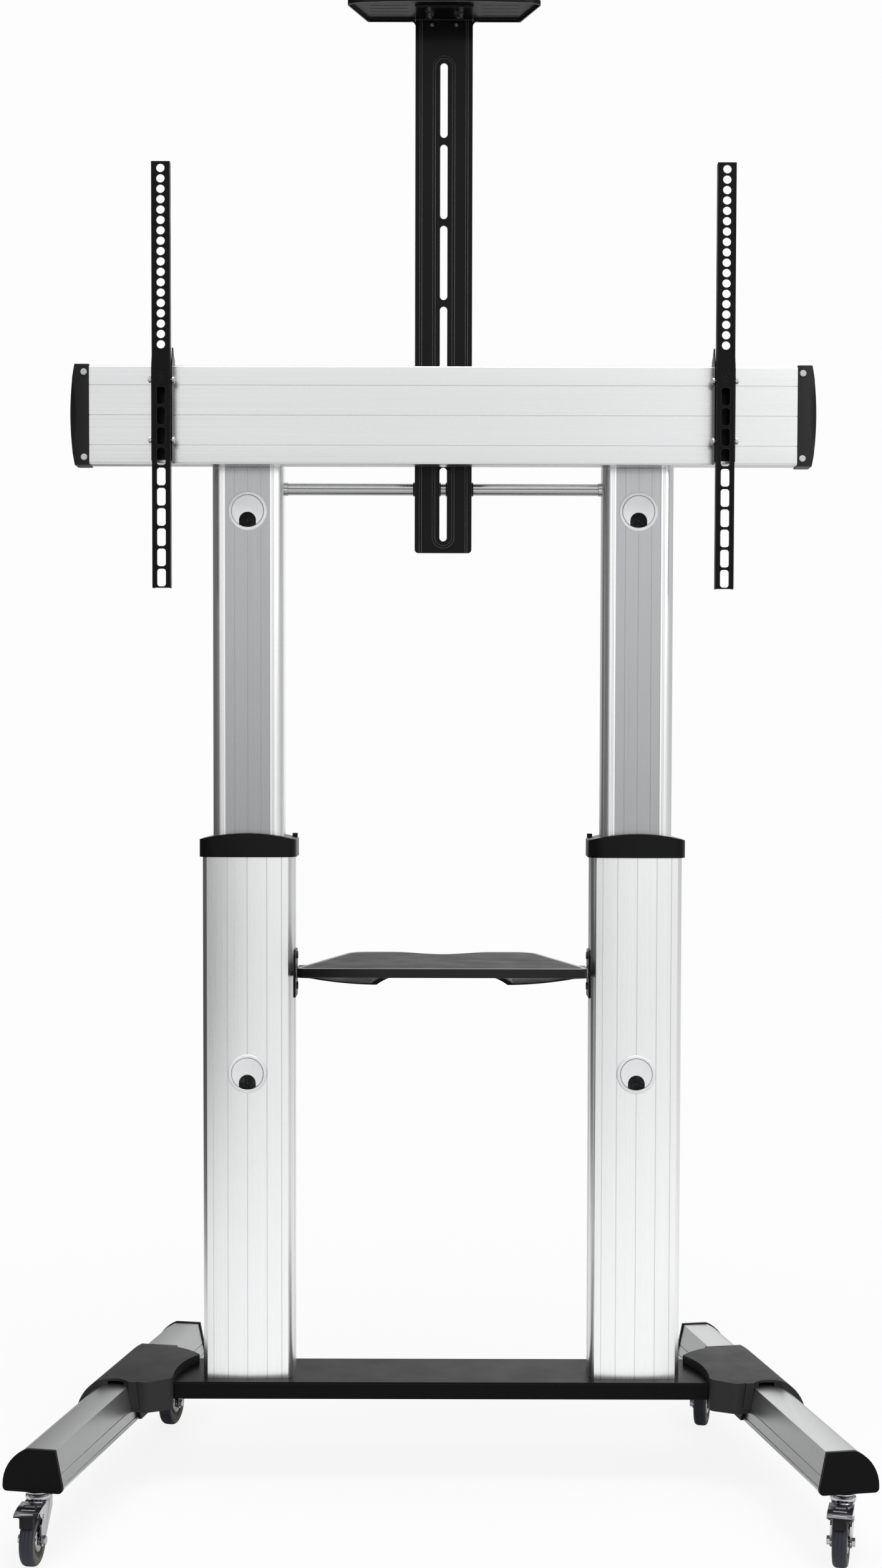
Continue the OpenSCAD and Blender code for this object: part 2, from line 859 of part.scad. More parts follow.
// Bowed plastic cap; a lens-shaped scoop runs through its front and outer faces
module rail_end_cap() {
  over = 2;
  bulge = 4;
  h = rail_h + 2 * over;
  r = (pow(h / 2, 2) + pow(bulge, 2)) / (2 * bulge);
  scoop_r = 107;
  scoop_d = 12;
  back_wall = 8;
  face_x = rail_l / 2;
  mid_z = rail_z + rail_h / 2;
  difference() {
    intersection() {
      translate([face_x + end_cap_t / 2, rail_front + rail_d / 2, mid_z - h / 2])
        slab(0, h) square([end_cap_t, rail_d + 1.6], center = true);
      translate([face_x + end_cap_t - r, 0, mid_z]) rod_y(r, -100, 0, $fn = 360);
    }
    translate([face_x + end_cap_t - scoop_d + scoop_r, 0, mid_z])
      rod_y(scoop_r, rail_front - 3, rail_back - back_wall, $fn = 360);
    for (z = [-1, 1])
      translate([face_x + 8, 0, mid_z + z * (rail_h / 2 - cap_screw_v)])
        rod_y(m6_r + run, rail_front - 3, rail_front + 14);
  }
}

module rail_end_caps()
  color([0.14, 0.14, 0.15]) at_columns() both_sides() rail_end_cap();

// Pan-head screws with a cross recess
module rail_cap_screws() {
  head_r = 5;
  face_y = rail_front - 3.2;
  cross_l = 5.6;
  cross_w = 1.1;
  color([0.75, 0.75, 0.76]) at_columns() both_sides()
    for (z = [-1, 1])
      translate([rail_l / 2 + 8, 0, rail_z + rail_h / 2 + z * (rail_h / 2 - cap_screw_v)]) difference() {
        union() {
          rod_y(m6_r, rail_front - 2, rail_front + 12);
          rod_y(head_r, rail_front - 2.2, rail_front - 0.8);
          rod_y(head_r - 1, face_y, rail_front - 2);
        }
        for (turn = [0, 90])
          rotate([0, turn, 0]) translate([-cross_l / 2, face_y - eps, -cross_w / 2])
            cube([cross_l, 1.5, cross_w]);
      }
}

// Plate between the rail and each upper column
module rail_brackets()
  color([0.12, 0.12, 0.12]) at_columns() for (c = [-1, 1])
    difference() {
      translate([c * column_x, 0, rail_z + (rail_h - bracket_h) / 2])
        sheet_y(rail_back, -inner_d / 2)
          translate([0, bracket_h / 2]) rounded_rect(bracket_w, bracket_h, 8);
      for (x = [-frame_bolt_x, frame_bolt_x])
        for (z = frame_bolt_zs)
          translate([c * column_x + x, 0, z]) rod_y(m8_r + run, rail_back - eps, 0);
    }

// Through bolts that hold the rail to the columns, and the bolts that hold mast and carrier
module frame_bolts() {
  color([0.45, 0.45, 0.46]) at_columns() {
    for (c = [-1, 1])
      for (x = [-frame_bolt_x, frame_bolt_x])
        for (z = frame_bolt_zs)
          translate([c * column_x + x, 0, z]) {
            rod_y(m8_r, rail_back - 6, inner_d / 2);
            rod_y(m8_head_r, inner_d / 2, inner_d / 2 + m8_head_h);
          }
    for (z = mast_bolt_zs)
      translate([0, 0, z]) {
        rod_y(9, mast_front - 2.6, mast_front - 0.1);
        rod_y(m8_r, mast_front - 0.1, carrier_front + carrier_t + 8);
        rod_y(m8_head_r, carrier_front + carrier_t, carrier_front + carrier_t + 6);
      }
    for (x = [-carrier_screw_x, carrier_screw_x])
      for (z = carrier_screw_zs)
        translate([x, 0, z]) {
          rod_y(m6_r, rail_back - 6, carrier_front + carrier_t);
          rod_y(m6_head_r, carrier_front + carrier_t, carrier_front + carrier_t + m6_head_h);
        }
  }
}

// ---------------------------------------------------------------- tie rod and mast

module tie_rod()
  color([0.8, 0.81, 0.82]) at_columns() translate([0, 0, rod_z]) difference() {
    rod_x(rod_r, -rod_half + rod_end_t, rod_half - rod_end_t);
    translate([-rod_half, -rod_r - 0.5, -1.2]) cube([2 * rod_half, 1.5, 1.4]);
  }

module tie_rod_fittings()
  color([0.85, 0.86, 0.87]) at_columns() both_sides() translate([0, 0, rod_z])
    rod_x(rod_r + 1, rod_half - rod_end_t, rod_half);

// Bracket on the back of the rail that clasps the tie rod and holds the mast
module mast_carrier() {
  plate_z = rail_z + 20;
  plate_top = rail_z + 132;
  leg_in = 12;
  leg_out = 38;
  sleeve_in = 4;
  sleeve_out = 48.5;
  color([0.07, 0.07, 0.07]) at_columns() difference() {
    union() {
      sheet_y(carrier_front, carrier_front + carrier_t) {
        translate([-carrier_w / 2, plate_z]) square([carrier_w, plate_top - plate_z]);
        for (m = [-1, 1])
          translate([m * (leg_in + leg_out) / 2 - (leg_out - leg_in) / 2, rod_z - rod_r])
            square([leg_out - leg_in, plate_z - rod_z + rod_r + eps]);
      }
      for (x = [-carrier_screw_x, carrier_screw_x])
        for (z = carrier_screw_zs)
          translate([x, 0, z]) rod_y(8, rail_back, carrier_front + run);
      for (z = mast_bolt_zs)
        translate([0, 0, z]) rod_y(8, mast_front + mast_t + gap, carrier_front + run);
      both_sides() {
        translate([leg_in, carrier_front + 1, rod_z - rod_r]) cube([leg_out - leg_in, 24, 2 * rod_r]);
        translate([0, 0, rod_z]) rod_x(rod_r + 1.2, sleeve_in, sleeve_out);
      }
    }
    translate([0, 0, rod_z]) rod_x(rod_r + run, -60, 60);
    for (x = [-carrier_screw_x, carrier_screw_x])
      for (z = carrier_screw_zs)
        translate([x, 0, z]) rod_y(m6_r + run, -60, 0);
    for (z = mast_bolt_zs)
      translate([0, 0, z]) rod_y(m8_r + run, -60, 0);
  }
}

// Raised bead, drawn as a racetrack ring around the row of slots
module bead_ring(half, width) {
  low = mast_slot_z - 5;
  high = mast_slot_z + (mast_slots - 1) * mast_slot_pitch + mast_slot_l + 5;
  translate([0, (low + high) / 2]) difference() {
    slot(2 * half + width, high - low + 2 * half + width - 2 * mast_slot_w);
    slot(2 * half - width, high - low + 2 * half - width - 2 * mast_slot_w);
  }
}

// Fills the corner between an upright edge and the edge above it, with radius r
module flare(r)
  difference() {
    square(r);
    translate([r, 0]) circle(r = r);
  }

module mast_sheet() {
  corner = 6;
  flare_r = 8;
  flare_top = camera_z - camera_skirt - gap;
  half = mast_w / 2;
  difference() {
    union() {
      translate([-half, mast_bottom + corner]) square([mast_w, mast_top - mast_bottom - corner]);
      translate([-half + corner, mast_bottom]) square([mast_w - 2 * corner, corner]);
      for (m = [-1, 1])
        translate([m * (half - corner), mast_bottom + corner]) circle(r = corner);
      both_sides() translate([half, flare_top - flare_r]) flare(flare_r);
    }
    for (i = [0:mast_slots - 1])
      translate([0, mast_slot_z + mast_slot_l / 2 + i * mast_slot_pitch]) slot(mast_slot_w, mast_slot_l);
  }
}

module mast() {
  half = mast_w / 2;
  bead_t = 1.4;
  rib_t = 0.9;
  color([0.06, 0.06, 0.06]) at_columns() difference() {
    union() {
      sheet_y(mast_front, mast_front + mast_t) mast_sheet();
      sheet_y(mast_front - bead_t, mast_front + run) bead_ring(15.4, 4.2);
      for (m = [-1, 1])
        translate([m * 36.5 - 1.8, mast_front - rib_t, mast_bottom])
          cube([3.6, rib_t + run, mast_top - mast_bottom]);
      for (m = [-1, 1])
        translate([m * (half - mast_t / 2) - mast_t / 2, mast_front + mast_t - run, mast_bottom + 6])
          cube([mast_t, mast_flange - mast_t, mast_top - mast_bottom - 6]);
      translate([-half, mast_front - tab_l, mast_top - mast_t]) cube([mast_w, tab_l + run, mast_t]);
    }
    for (x = [-25, 25])
      for (y = [mast_front - 18, mast_front - 46])
        translate([x, y, mast_top - 10]) cylinder(r = m6_r + run, h = 20);
    for (x = [-rivet_x, rivet_x])
      translate([x, 0, camera_z - rivet_drop]) rod_y(rivet_r + run, mast_front - 10, mast_front + 10);
  }
}

// ---------------------------------------------------------------- camera shelf

camera_corner = [camera_front_half, camera_front];
camera_slope = [camera_front_half - 9, camera_front - 6.5];
camera_right = fillet(camera_slope, camera_corner, [camera_back_half, camera_back], 7);
camera_edge = camera_slope - [8, 3];
camera_outline = concat(
  [[-camera_back_half, camera_back]],
  [for (i = [len(camera_right) - 1:-1:0]) [-camera_right[i][0], camera_right[i][1]]],
  bow([-camera_edge[0], camera_edge[1]], camera_edge, 9.5 - camera_bow, 20),
  camera_right,
  [[camera_back_half, camera_back]]
);

module camera_shelf() {
  centre = [0, (camera_front + camera_back) / 2];
  slot_l = 62;
  slot_w = 3.2;
  color([0.06, 0.06, 0.07]) at_columns() difference() {
    union() {
      difference() {
        slab(camera_z - camera_skirt, camera_z + camera_t) polygon(camera_outline);
        slab(camera_z - camera_skirt - eps, camera_z)
          polygon([for (p = camera_outline) [p[0] * 0.983, centre[1] + (p[1] - centre[1]) * 0.96]]);
        translate([-mast_w / 2 - gap, mast_front - 1.6, camera_z - camera_skirt - eps])
          cube([mast_w + 2 * gap, 20, camera_skirt + eps]);
      }
      translate([-28, mast_front + mast_t, camera_z - 20]) cube([56, camera_t, 20 + eps]);
    }
    for (x = [-rivet_x, rivet_x])
      translate([x, 0, camera_z - rivet_drop]) rod_y(rivet_r + run, mast_front, mast_front + 10);
    for (m = [-1, 1])
      for (i = [0:3])
        translate([m * 87, camera_back - 20 - i * 15, 0]) slab(camera_z - eps, camera_z + camera_t + eps)
          rotate(90) slot(slot_w, slot_l);
    for (x = [-25, 25])
      for (y = [mast_front - 18, mast_front - 46])
        translate([x, y, camera_z - 10]) cylinder(r = m6_r + run, h = 20);
  }
}

module camera_shelf_screws()
  color([0.4, 0.4, 0.42]) at_columns() {
    for (x = [-rivet_x, rivet_x])
      translate([x, 0, camera_z - rivet_drop]) {
        rod_y(rivet_r, mast_front - 0.1, mast_front + mast_t + camera_t);
        rod_y(2 * rivet_r, mast_front - 1.1, mast_front);
      }
    for (x = [-25, 25])
      for (y = [mast_front - 18, mast_front - 46])
        translate([x, y, camera_z - mast_t]) {
          cylinder(r = m6_r, h = mast_t + camera_t);
          translate([0, 0, -m6_head_h]) cylinder(r = m6_head_r, h = m6_head_h);
        }
  }

// ---------------------------------------------------------------- equipment shelf

// Back edge of the tray: flat at both ends, with a shallow hollow in the middle
tray_wave_points = [for (i = [0:20])
  let (x = tray_wave_half * (1 - i / 10))
  [x, tray_back - tray_wave * pow(cos(90 * x / tray_wave_half), 2)]];

tray_outline = concat(
  bow([-tray_front_half, tray_front + 12], [-tray_front_half + 12, tray_front], -3, 6),
  bow([tray_front_half - 12, tray_front], [tray_front_half, tray_front + 12], -3, 6),
  bow([tray_back_half + 7, tray_back - 26], [tray_back_half - 24, tray_back], -6, 6),
  tray_wave_points,
  bow([-tray_back_half + 24, tray_back], [-tray_back_half - 7, tray_back - 26], -6, 6)
);

function tray_inset(t) =
  [for (p = tray_outline) [p[0] * (1 - t / 190), -5 + (p[1] + 5) * (1 - t / 130)]];

module shelf_tray()
  color([0.07, 0.07, 0.07]) at_columns() difference() {
    slab(tray_z - tray_h, tray_z) polygon(tray_outline);
    slab(tray_z - mat_t, tray_z + eps) polygon(tray_inset(mat_margin));
    slab(tray_z - tray_h - eps, tray_z - mat_t - tray_t) polygon(tray_inset(tray_wall));
  }

module shelf_mat()
  color([0.55, 0.56, 0.57]) at_columns()
    slab(tray_z - mat_t, tray_z) polygon(tray_inset(mat_margin + gap));

// Wing that dips towards the middle and carries the tray on its flat top
module shelf_support() {
  top = tray_z - tray_h;
  outer = column_x - outer_w / 2 - gap - clamp_t;
  wing = concat(
    [[outer, top], [outer, top - 9], [212, top - 10]],
    bow([212, top - 10], [112, top - 20], 2, 8),
    bow([105, top - 20], [64, top - 4], -3, 8),
    [[60, top]]
  );
  sheet_y(-support_half, support_half) difference() {
    polygon(wing);
    polygon(shrink(wing, [150, top - 7], 0.8));
  }
}

module shelf_supports()
  color([0.08, 0.08, 0.08]) at_columns() both_sides() shelf_support();

module shelf_clamps() {
  face = column_x - outer_w / 2 - gap;
  color([0.08, 0.08, 0.08]) at_columns() both_sides() difference() {
    sheet_x(face - clamp_t, face)
      polygon([
        [-clamp_half, clamp_z],
        [clamp_half, clamp_z],
        [clamp_half, clamp_z + clamp_h - 8],
        [clamp_half - 8, clamp_z + clamp_h],
        [-clamp_half + 8, clamp_z + clamp_h],
        [-clamp_half, clamp_z + clamp_h - 8]
      ]);
    for (dz = [0, 50])
      translate([0, 0, shelf_bolt_z + dz]) rod_x(m8_r + run, face - clamp_t - eps, face + eps);
  }
}

// Bolts whose square heads slide in the columns' clamp channels
module shelf_screws() {
  face = column_x - outer_w / 2 - gap;
  head = 13.6;
  head_t = 3.6;
  head_x = column_x - outer_w / 2 + outer_wall + gap;
  color([0.3, 0.3, 0.31]) at_columns() both_sides()
    for (dz = [0, 50])
      translate([0, 0, shelf_bolt_z + dz]) {
        rod_x(m8_r, face - clamp_t - 0.1, head_x + 1);
        rod_x(6, face - clamp_t - 2.4, face - clamp_t);
        translate([head_x, -head / 2, -head / 2]) cube([head_t, head, head]);
      }
}

// ---------------------------------------------------------------- display arms and hooks

// Hook bracket, drawn at X = 0: two cheeks, a web behind the arm and a lip in the rail's track
module hook_cheek_outline() {
  back = rail_front - gap;
  polygon([
    [hook_front, rail_z + 2],
    [back, rail_z],
    [back, rail_top + gap],
    [track_y - 2, rail_top + gap],
    [track_y - 2, rail_top + 8],
    [rail_front + 2, rail_top + 13],
    [-84, rail_top + hook_fin],
    [-90, rail_top + hook_fin],
    [hook_front, rail_top - 8]
  ]);
}

// The upper bolt travels in an arc around the lower one
module hook() {
  back = rail_front - gap;
  lip_t = track_w - 1;
  difference() {
    union() {
      for (m = [-1, 1])
        translate([m * (hook_half - hook_t / 2), 0, 0])
          sheet_x(-hook_t / 2, hook_t / 2) hook_cheek_outline();
      translate([-hook_half, back - 3, rail_z + 6]) cube([2 * hook_half, 3, rail_h - 12]);
      translate([-hook_half, back - 3, rail_top + gap])
        cube([2 * hook_half, track_y + lip_t / 2 - back + 3, 3]);
      translate([-hook_half, track_y - lip_t / 2, rail_top - track_h + 1])
        cube([2 * hook_half, lip_t, track_h + gap]);
    }
    translate([0, tilt_y, tilt_low_z]) rod_x(tilt_r + run, -40, 40);
    translate([0, tilt_y, tilt_high_z]) rod_x(tilt_r + run, -40, 40);
  }
}

module hook_left()
  color([0.06, 0.06, 0.06]) at_columns() translate([-arm_x, 0, 0]) hook();

module hook_right()
  color([0.06, 0.06, 0.06]) at_columns() translate([arm_x, 0, 0]) hook();

// A pan-head bolt and a nutted stud at each height; the lower pair is the tilt pivot
module tilt_bolts() {
  head_r = 6.2;
  head_t = 3.4;
  nut_r = 5.2;
  nut_t = 4;
  reach = 6.5;
  for (z = [tilt_low_z, tilt_high_z])
    translate([0, tilt_y, z]) {
      rod_x(tilt_r, hook_half - reach, hook_half + 0.1);
      rod_x(head_r - 1.4, hook_half + head_t - 0.6, hook_half + head_t);
      rod_x(head_r, hook_half, hook_half + head_t - 0.6);
      rod_x(tilt_r, -hook_half - nut_t - 1, -hook_half + reach);
      translate([-hook_half - nut_t, 0, 0]) rotate([0, 90, 0]) cylinder(r = nut_r, h = nut_t, $fn = 6);
    }
}

module tilt_bolts_left()
  color([0.75, 0.75, 0.76]) at_columns() translate([-arm_x, 0, 0]) tilt_bolts();

module tilt_bolts_right()
  color([0.75, 0.75, 0.76]) at_columns() translate([arm_x, 0, 0]) mirrored() tilt_bolts();

// Marker stamped through the arm: an open arrow that points up
module arrow_marker() {
  for (m = [-1, 1]) {
    translate([m * 1.9, 0]) square([1.3, 8], center = true);
    translate([m * 3.6, 6]) rotate(m * -42) square([8.4, 1.3], center = true);
  }
}

module arm_face()
  difference() {
    translate([-arm_w / 2, arm_z]) square([arm_w, arm_l]);
    for (i = [0:arm_holes - 1])
      translate([0, arm_hole_z - i * hole_pitch]) circle(d = hole_d);
    for (i = [0:arm_slots - 1])
      translate([0, arm_slot_z + i * arm_slot_pitch]) rounded_rect(arm_slot_w, arm_slot_l, 4.5);
    translate([0, arm_hole_z - (arm_holes - 1) * hole_pitch - 52]) arrow_marker();
  }

// Display arm: a channel whose flanges sit between the hook's cheeks
module display_arm() {
  half = arm_w / 2;
  difference() {
    union() {
      sheet_y(arm_front, arm_front + arm_t) arm_face();
      for (m = [-1, 1])
        translate([m * (half - arm_t / 2) - arm_t / 2, arm_front + arm_t - run, arm_z])
          cube([arm_t, arm_d - arm_t, arm_l]);
    }
    translate([0, tilt_y, tilt_low_z]) rod_x(tilt_r + run, -40, 40);
    translate([0, tilt_y, tilt_low_z]) sheet_x(-40, 40) tilt_arc_slot();
  }
}

// Arc slot in the arm's flanges for the upper bolt, drawn in Y and Z around the pivot
module tilt_arc_slot() {
  reach = tilt_high_z - tilt_low_z;
  wide = tilt_r + 0.3;
  far = reach * 1.3;
  intersection() {
    difference() {
      circle(r = reach + wide, $fn = 180);
      circle(r = reach - wide, $fn = 180);
    }
    polygon([[0, 0], [0, far], [far * sin(tilt_max + 1), far * cos(tilt_max + 1)]]);
  }
  translate([0, reach]) circle(r = wide);
}

module display_arm_left()
  color([0.05, 0.05, 0.05]) at_columns() translate([-arm_x, 0, 0]) display_arm();

module display_arm_right()
  color([0.05, 0.05, 0.05]) at_columns() translate([arm_x, 0, 0]) display_arm();

// ---------------------------------------------------------------- casters

// Swivel plate and stem that stay fixed in the leg
module caster_stem()
  rotate_extrude($fn = 64) polygon([
    [0, crown_z - 3],
    [7, crown_z - 3],
    [7, crown_z - gap],
    [stem_r, crown_z - gap],
    [stem_r, 97],
    [race_r - 4, 97],
    [race_r, 99.5],
    [race_r, 101.5],
    [race_r - 4.5, 103],
    [race_r - 4.5, race_top],
    [5.9, race_top],
    [5.9, race_top + 22],
    [0, race_top + 22]
  ]);

module caster_stems()
  color([0.75, 0.75, 0.76]) at_columns() both_sides()
    for (front = [true, false])
      at_swivel(front) caster_stem();

// Places a caster's turning parts; the wheel trails towards -Y at yaw 0
module place_caster(left, front, yaw) {
  x = leg_x + (front ? swivel_front_y : -swivel_rear_y) * tan(leg_splay) + leg_mid_u;
  translate([left ? -x : x, front ? -swivel_front_y : swivel_rear_y, 0]) rotate(-yaw) children();
}

module fork_cheek()
  difference() {
    union() {
      polygon([
        [-17, crown_z + 1],
        [19, crown_z + 1],
        [18, 72],
        [-22, wheel_r - 6],
        [-trail - 8.5, wheel_r],
        [-trail - 7, 62],
        [-30, 70]
      ]);
      translate([-trail, wheel_r]) circle(r = 9);
      translate([pivot_y, pivot_z]) circle(r = 5.5);
      polygon([[pivot_y, pivot_z + 5.5], [-17, crown_z + 1], [-17, 66], [pivot_y, pivot_z - 5.5]]);
    }
    translate([-trail, wheel_r]) circle(r = axle_r + run);
  }

// Pressed fork with its bearing cup; a braked fork has a pivot stud on each cheek
module caster_fork(braked) {
  for (m = [-1, 1])
    translate([m * (fork_in + fork_t / 2), 0, 0]) sheet_x(-fork_t / 2, fork_t / 2) fork_cheek();
  difference() {
    union() {
      translate([-fork_out, -17, crown_z]) cube([2 * fork_out, 36, crown_t]);
      rotate_extrude($fn = 64) polygon([
        [12, crown_z + 1],
        [17.5, crown_z + 1],
        [19, 91],
        [18.6, 94],
        [15.5, 96.6],
        [12, 96.6]
      ]);
    }
    translate([0, 0, crown_z - eps]) cylinder(r = stem_r + run, h = 20);
  }
  if (braked)
    for (m = [-1, 1])
      translate([0, pivot_y, pivot_z])
        rod_x(3, m > 0 ? fork_in + run : -pedal_half - 1, m > 0 ? pedal_half + 1 : -fork_in - run);
}

module caster_axle() {
  translate([0, -trail, wheel_r]) {
    rod_x(axle_r, -fork_out - 0.2, fork_out + 0.2);
    translate([fork_out, 0, 0]) rotate([0, 90, 0]) cylinder(r = 6.8, h = 4.6, $fn = 6);
    translate([-fork_out - 5, 0, 0]) rotate([0, 90, 0]) cylinder(r = 6.8, h = 5, $fn = 6);
  }
}

module about_axle()
  translate([0, -trail, wheel_r]) rotate([0, 90, 0]) children();

module caster_tyre() {
  half = tyre_w / 2;
  shoulder = 4;
  about_axle() rotate_extrude($fn = 96) polygon([
    [rim_r, -half + 1],
    [wheel_r - shoulder - 3, -half],
    [wheel_r - shoulder, -half + 0.6],
    [wheel_r - 1.2, -half + shoulder - 1],
    [wheel_r, -half + shoulder + 2],
    [wheel_r, half - shoulder - 2],
    [wheel_r - 1.2, half - shoulder + 1],
    [wheel_r - shoulder, half - 0.6],
    [wheel_r - shoulder - 3, half],
    [rim_r, half - 1]
  ]);
}

module wheel_hub() {
  hub_half = fork_in - 0.3;
  disc_r = 17;
  rim_half = tyre_w / 2 - 1.5;
  right_side = [
    [rim_r, rim_half],
    [rim_r - 1.5, rim_half],
    [disc_r + 1, 7],
    [disc_r, 9.2],
    [disc_r - 1, 10.2],
    [8.5, 10.8],
    [8, hub_half],
    [hub_bore_r, hub_half]
  ];
  left_side = [for (i = [len(right_side) - 1:-1:0]) [right_side[i][0], -right_side[i][1]]];
  about_axle() rotate_extrude($fn = 96) polygon(concat(left_side, right_side));
}

// Foot pedal: a sheet that slopes down in front of the fork, cheeks on the pivot studs and a brake shoe
module brake_pedal() {
  sheet = 1.8;
  cheek_in = fork_out + 0.3;
  shoe_gap = 4;
  difference() {
    union() {
      sheet_x(-pedal_half, pedal_half) polygon([
        [-22, 90],
        [-44, 89],
        [-60, 86.5],
        [-66, 82.5],
        [-66, 80.7],
        [-60, 84.7],
        [-44, 87.2],
        [-22, 88.2]
      ]);
      for (m = [-1, 1])
        translate([m * (cheek_in + pedal_half) / 2, 0, 0])
          sheet_x(-(pedal_half - cheek_in) / 2, (pedal_half - cheek_in) / 2) {
            polygon([
              [-24, 88.8],
              [-56, 86],
              [-52, 79],
              [pivot_y - 5, pivot_z - 3],
              [pivot_y + 4, pivot_z - 4]
            ]);
            translate([pivot_y, pivot_z]) circle(r = 5.5);
          }
      difference() {
        translate([-10, -63, 60]) cube([20, 14, 26]);
        about_axle() cylinder(r = wheel_r + shoe_gap, h = 60, center = true, $fn = 96);
      }
    }
    translate([0, pivot_y, pivot_z]) rod_x(3 + run, -30, 30);
  }
}

fork_colour = [0.74, 0.74, 0.75];
tyre_colour = [0.16, 0.17, 0.2];
hub_colour = [0.4, 0.38, 0.35];

module caster_fork_front_left()
  color(fork_colour) at_columns() place_caster(true, true, yaw_front_left) caster_fork(true);
module caster_fork_front_right()
  color(fork_colour) at_columns() place_caster(false, true, yaw_front_right) caster_fork(true);
module caster_fork_rear_left()
  color(fork_colour) at_columns() place_caster(true, false, yaw_rear_left) caster_fork(false);
module caster_fork_rear_right()
  color(fork_colour) at_columns() place_caster(false, false, yaw_rear_right) caster_fork(false);

module caster_axle_front_left()
  color(fork_colour) at_columns() place_caster(true, true, yaw_front_left) caster_axle();
module caster_axle_front_right()
  color(fork_colour) at_columns() place_caster(false, true, yaw_front_right) caster_axle();
module caster_axle_rear_left()
  color(fork_colour) at_columns() place_caster(true, false, yaw_rear_left) caster_axle();
module caster_axle_rear_right()
  color(fork_colour) at_columns() place_caster(false, false, yaw_rear_right) caster_axle();

module tyre_front_left()
  color(tyre_colour) at_columns() place_caster(true, true, yaw_front_left) caster_tyre();
module tyre_front_right()
  color(tyre_colour) at_columns() place_caster(false, true, yaw_front_right) caster_tyre();
module tyre_rear_left()
  color(tyre_colour) at_columns() place_caster(true, false, yaw_rear_left) caster_tyre();
module tyre_rear_right()
  color(tyre_colour) at_columns() place_caster(false, false, yaw_rear_right) caster_tyre();

module wheel_hub_front_left()
  color(hub_colour) at_columns() place_caster(true, true, yaw_front_left) wheel_hub();
module wheel_hub_front_right()
  color(hub_colour) at_columns() place_caster(false, true, yaw_front_right) wheel_hub();
module wheel_hub_rear_left()
  color(hub_colour) at_columns() place_caster(true, false, yaw_rear_left) wheel_hub();
module wheel_hub_rear_right()
  color(hub_colour) at_columns() place_caster(false, false, yaw_rear_right) wheel_hub();

module brake_pedal_left()
  color(fork_colour) at_columns() place_caster(true, true, yaw_front_left) brake_pedal();
module brake_pedal_right()
  color(fork_colour) at_columns() place_caster(false, true, yaw_front_right) brake_pedal();

base_plate();
leg_left();
leg_right();
hub_covers();
leg_end_caps();
base_bolts();
outer_column_left();
outer_column_right();
collars();
lower_grommets();
lower_grommet_brushes();
guide_bushes();
height_lock_bolts();
caster_stems();
inner_column_left();
inner_column_right();
slide_shoes();
rail();
rail_end_caps();
rail_cap_screws();
rail_brackets();
frame_bolts();
tie_rod();
tie_rod_fittings();
upper_grommets();
upper_grommet_brushes();
mast_carrier();
mast();
camera_shelf();
camera_shelf_screws();
shelf_tray();
shelf_mat();
shelf_supports();
shelf_clamps();
shelf_screws();
hook_left();
hook_right();
tilt_bolts_left();
tilt_bolts_right();
display_arm_left();
display_arm_right();
caster_fork_front_left();
caster_axle_front_left();
tyre_front_left();
wheel_hub_front_left();
caster_fork_front_right();
caster_axle_front_right();
tyre_front_right();
wheel_hub_front_right();
caster_fork_rear_left();
caster_axle_rear_left();
tyre_rear_left();
wheel_hub_rear_left();
caster_fork_rear_right();
caster_axle_rear_right();
tyre_rear_right();
wheel_hub_rear_right();
brake_pedal_left();
brake_pedal_right();
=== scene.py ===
"""Looks for the mobile display cart: refined pieces, procedural materials, studio light and camera."""
import json
import math
import random

import bmesh
import bpy
from mathutils import Matrix, Vector


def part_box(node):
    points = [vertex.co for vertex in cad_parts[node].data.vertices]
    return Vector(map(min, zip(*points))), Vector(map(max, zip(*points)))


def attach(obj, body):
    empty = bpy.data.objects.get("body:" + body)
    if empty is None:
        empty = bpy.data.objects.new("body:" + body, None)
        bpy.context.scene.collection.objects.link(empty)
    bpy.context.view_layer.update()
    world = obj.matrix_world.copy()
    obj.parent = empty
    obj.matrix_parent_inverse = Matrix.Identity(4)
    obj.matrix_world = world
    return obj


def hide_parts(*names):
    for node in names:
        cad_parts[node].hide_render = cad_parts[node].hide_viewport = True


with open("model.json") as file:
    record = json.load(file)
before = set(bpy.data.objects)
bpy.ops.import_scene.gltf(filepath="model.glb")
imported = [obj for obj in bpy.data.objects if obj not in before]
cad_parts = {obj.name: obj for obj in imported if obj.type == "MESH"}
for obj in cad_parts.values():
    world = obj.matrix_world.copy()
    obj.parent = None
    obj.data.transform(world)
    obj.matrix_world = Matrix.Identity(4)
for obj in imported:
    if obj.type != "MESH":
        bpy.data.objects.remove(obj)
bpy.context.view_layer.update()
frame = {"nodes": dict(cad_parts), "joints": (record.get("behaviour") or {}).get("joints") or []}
MM = 0.001
CASTERS = ("front_left", "front_right", "rear_left", "rear_right")
NODES = frame["nodes"]
COLUMN_LOW, COLUMN_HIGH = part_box("inner_column_right")
COLUMN_X = (COLUMN_LOW.x + COLUMN_HIGH.x) / 2
COLUMN_Y = (COLUMN_LOW.y + COLUMN_HIGH.y) / 2
BAND_HALF = 0.036


# ---------------------------------------------------------------- node material helpers

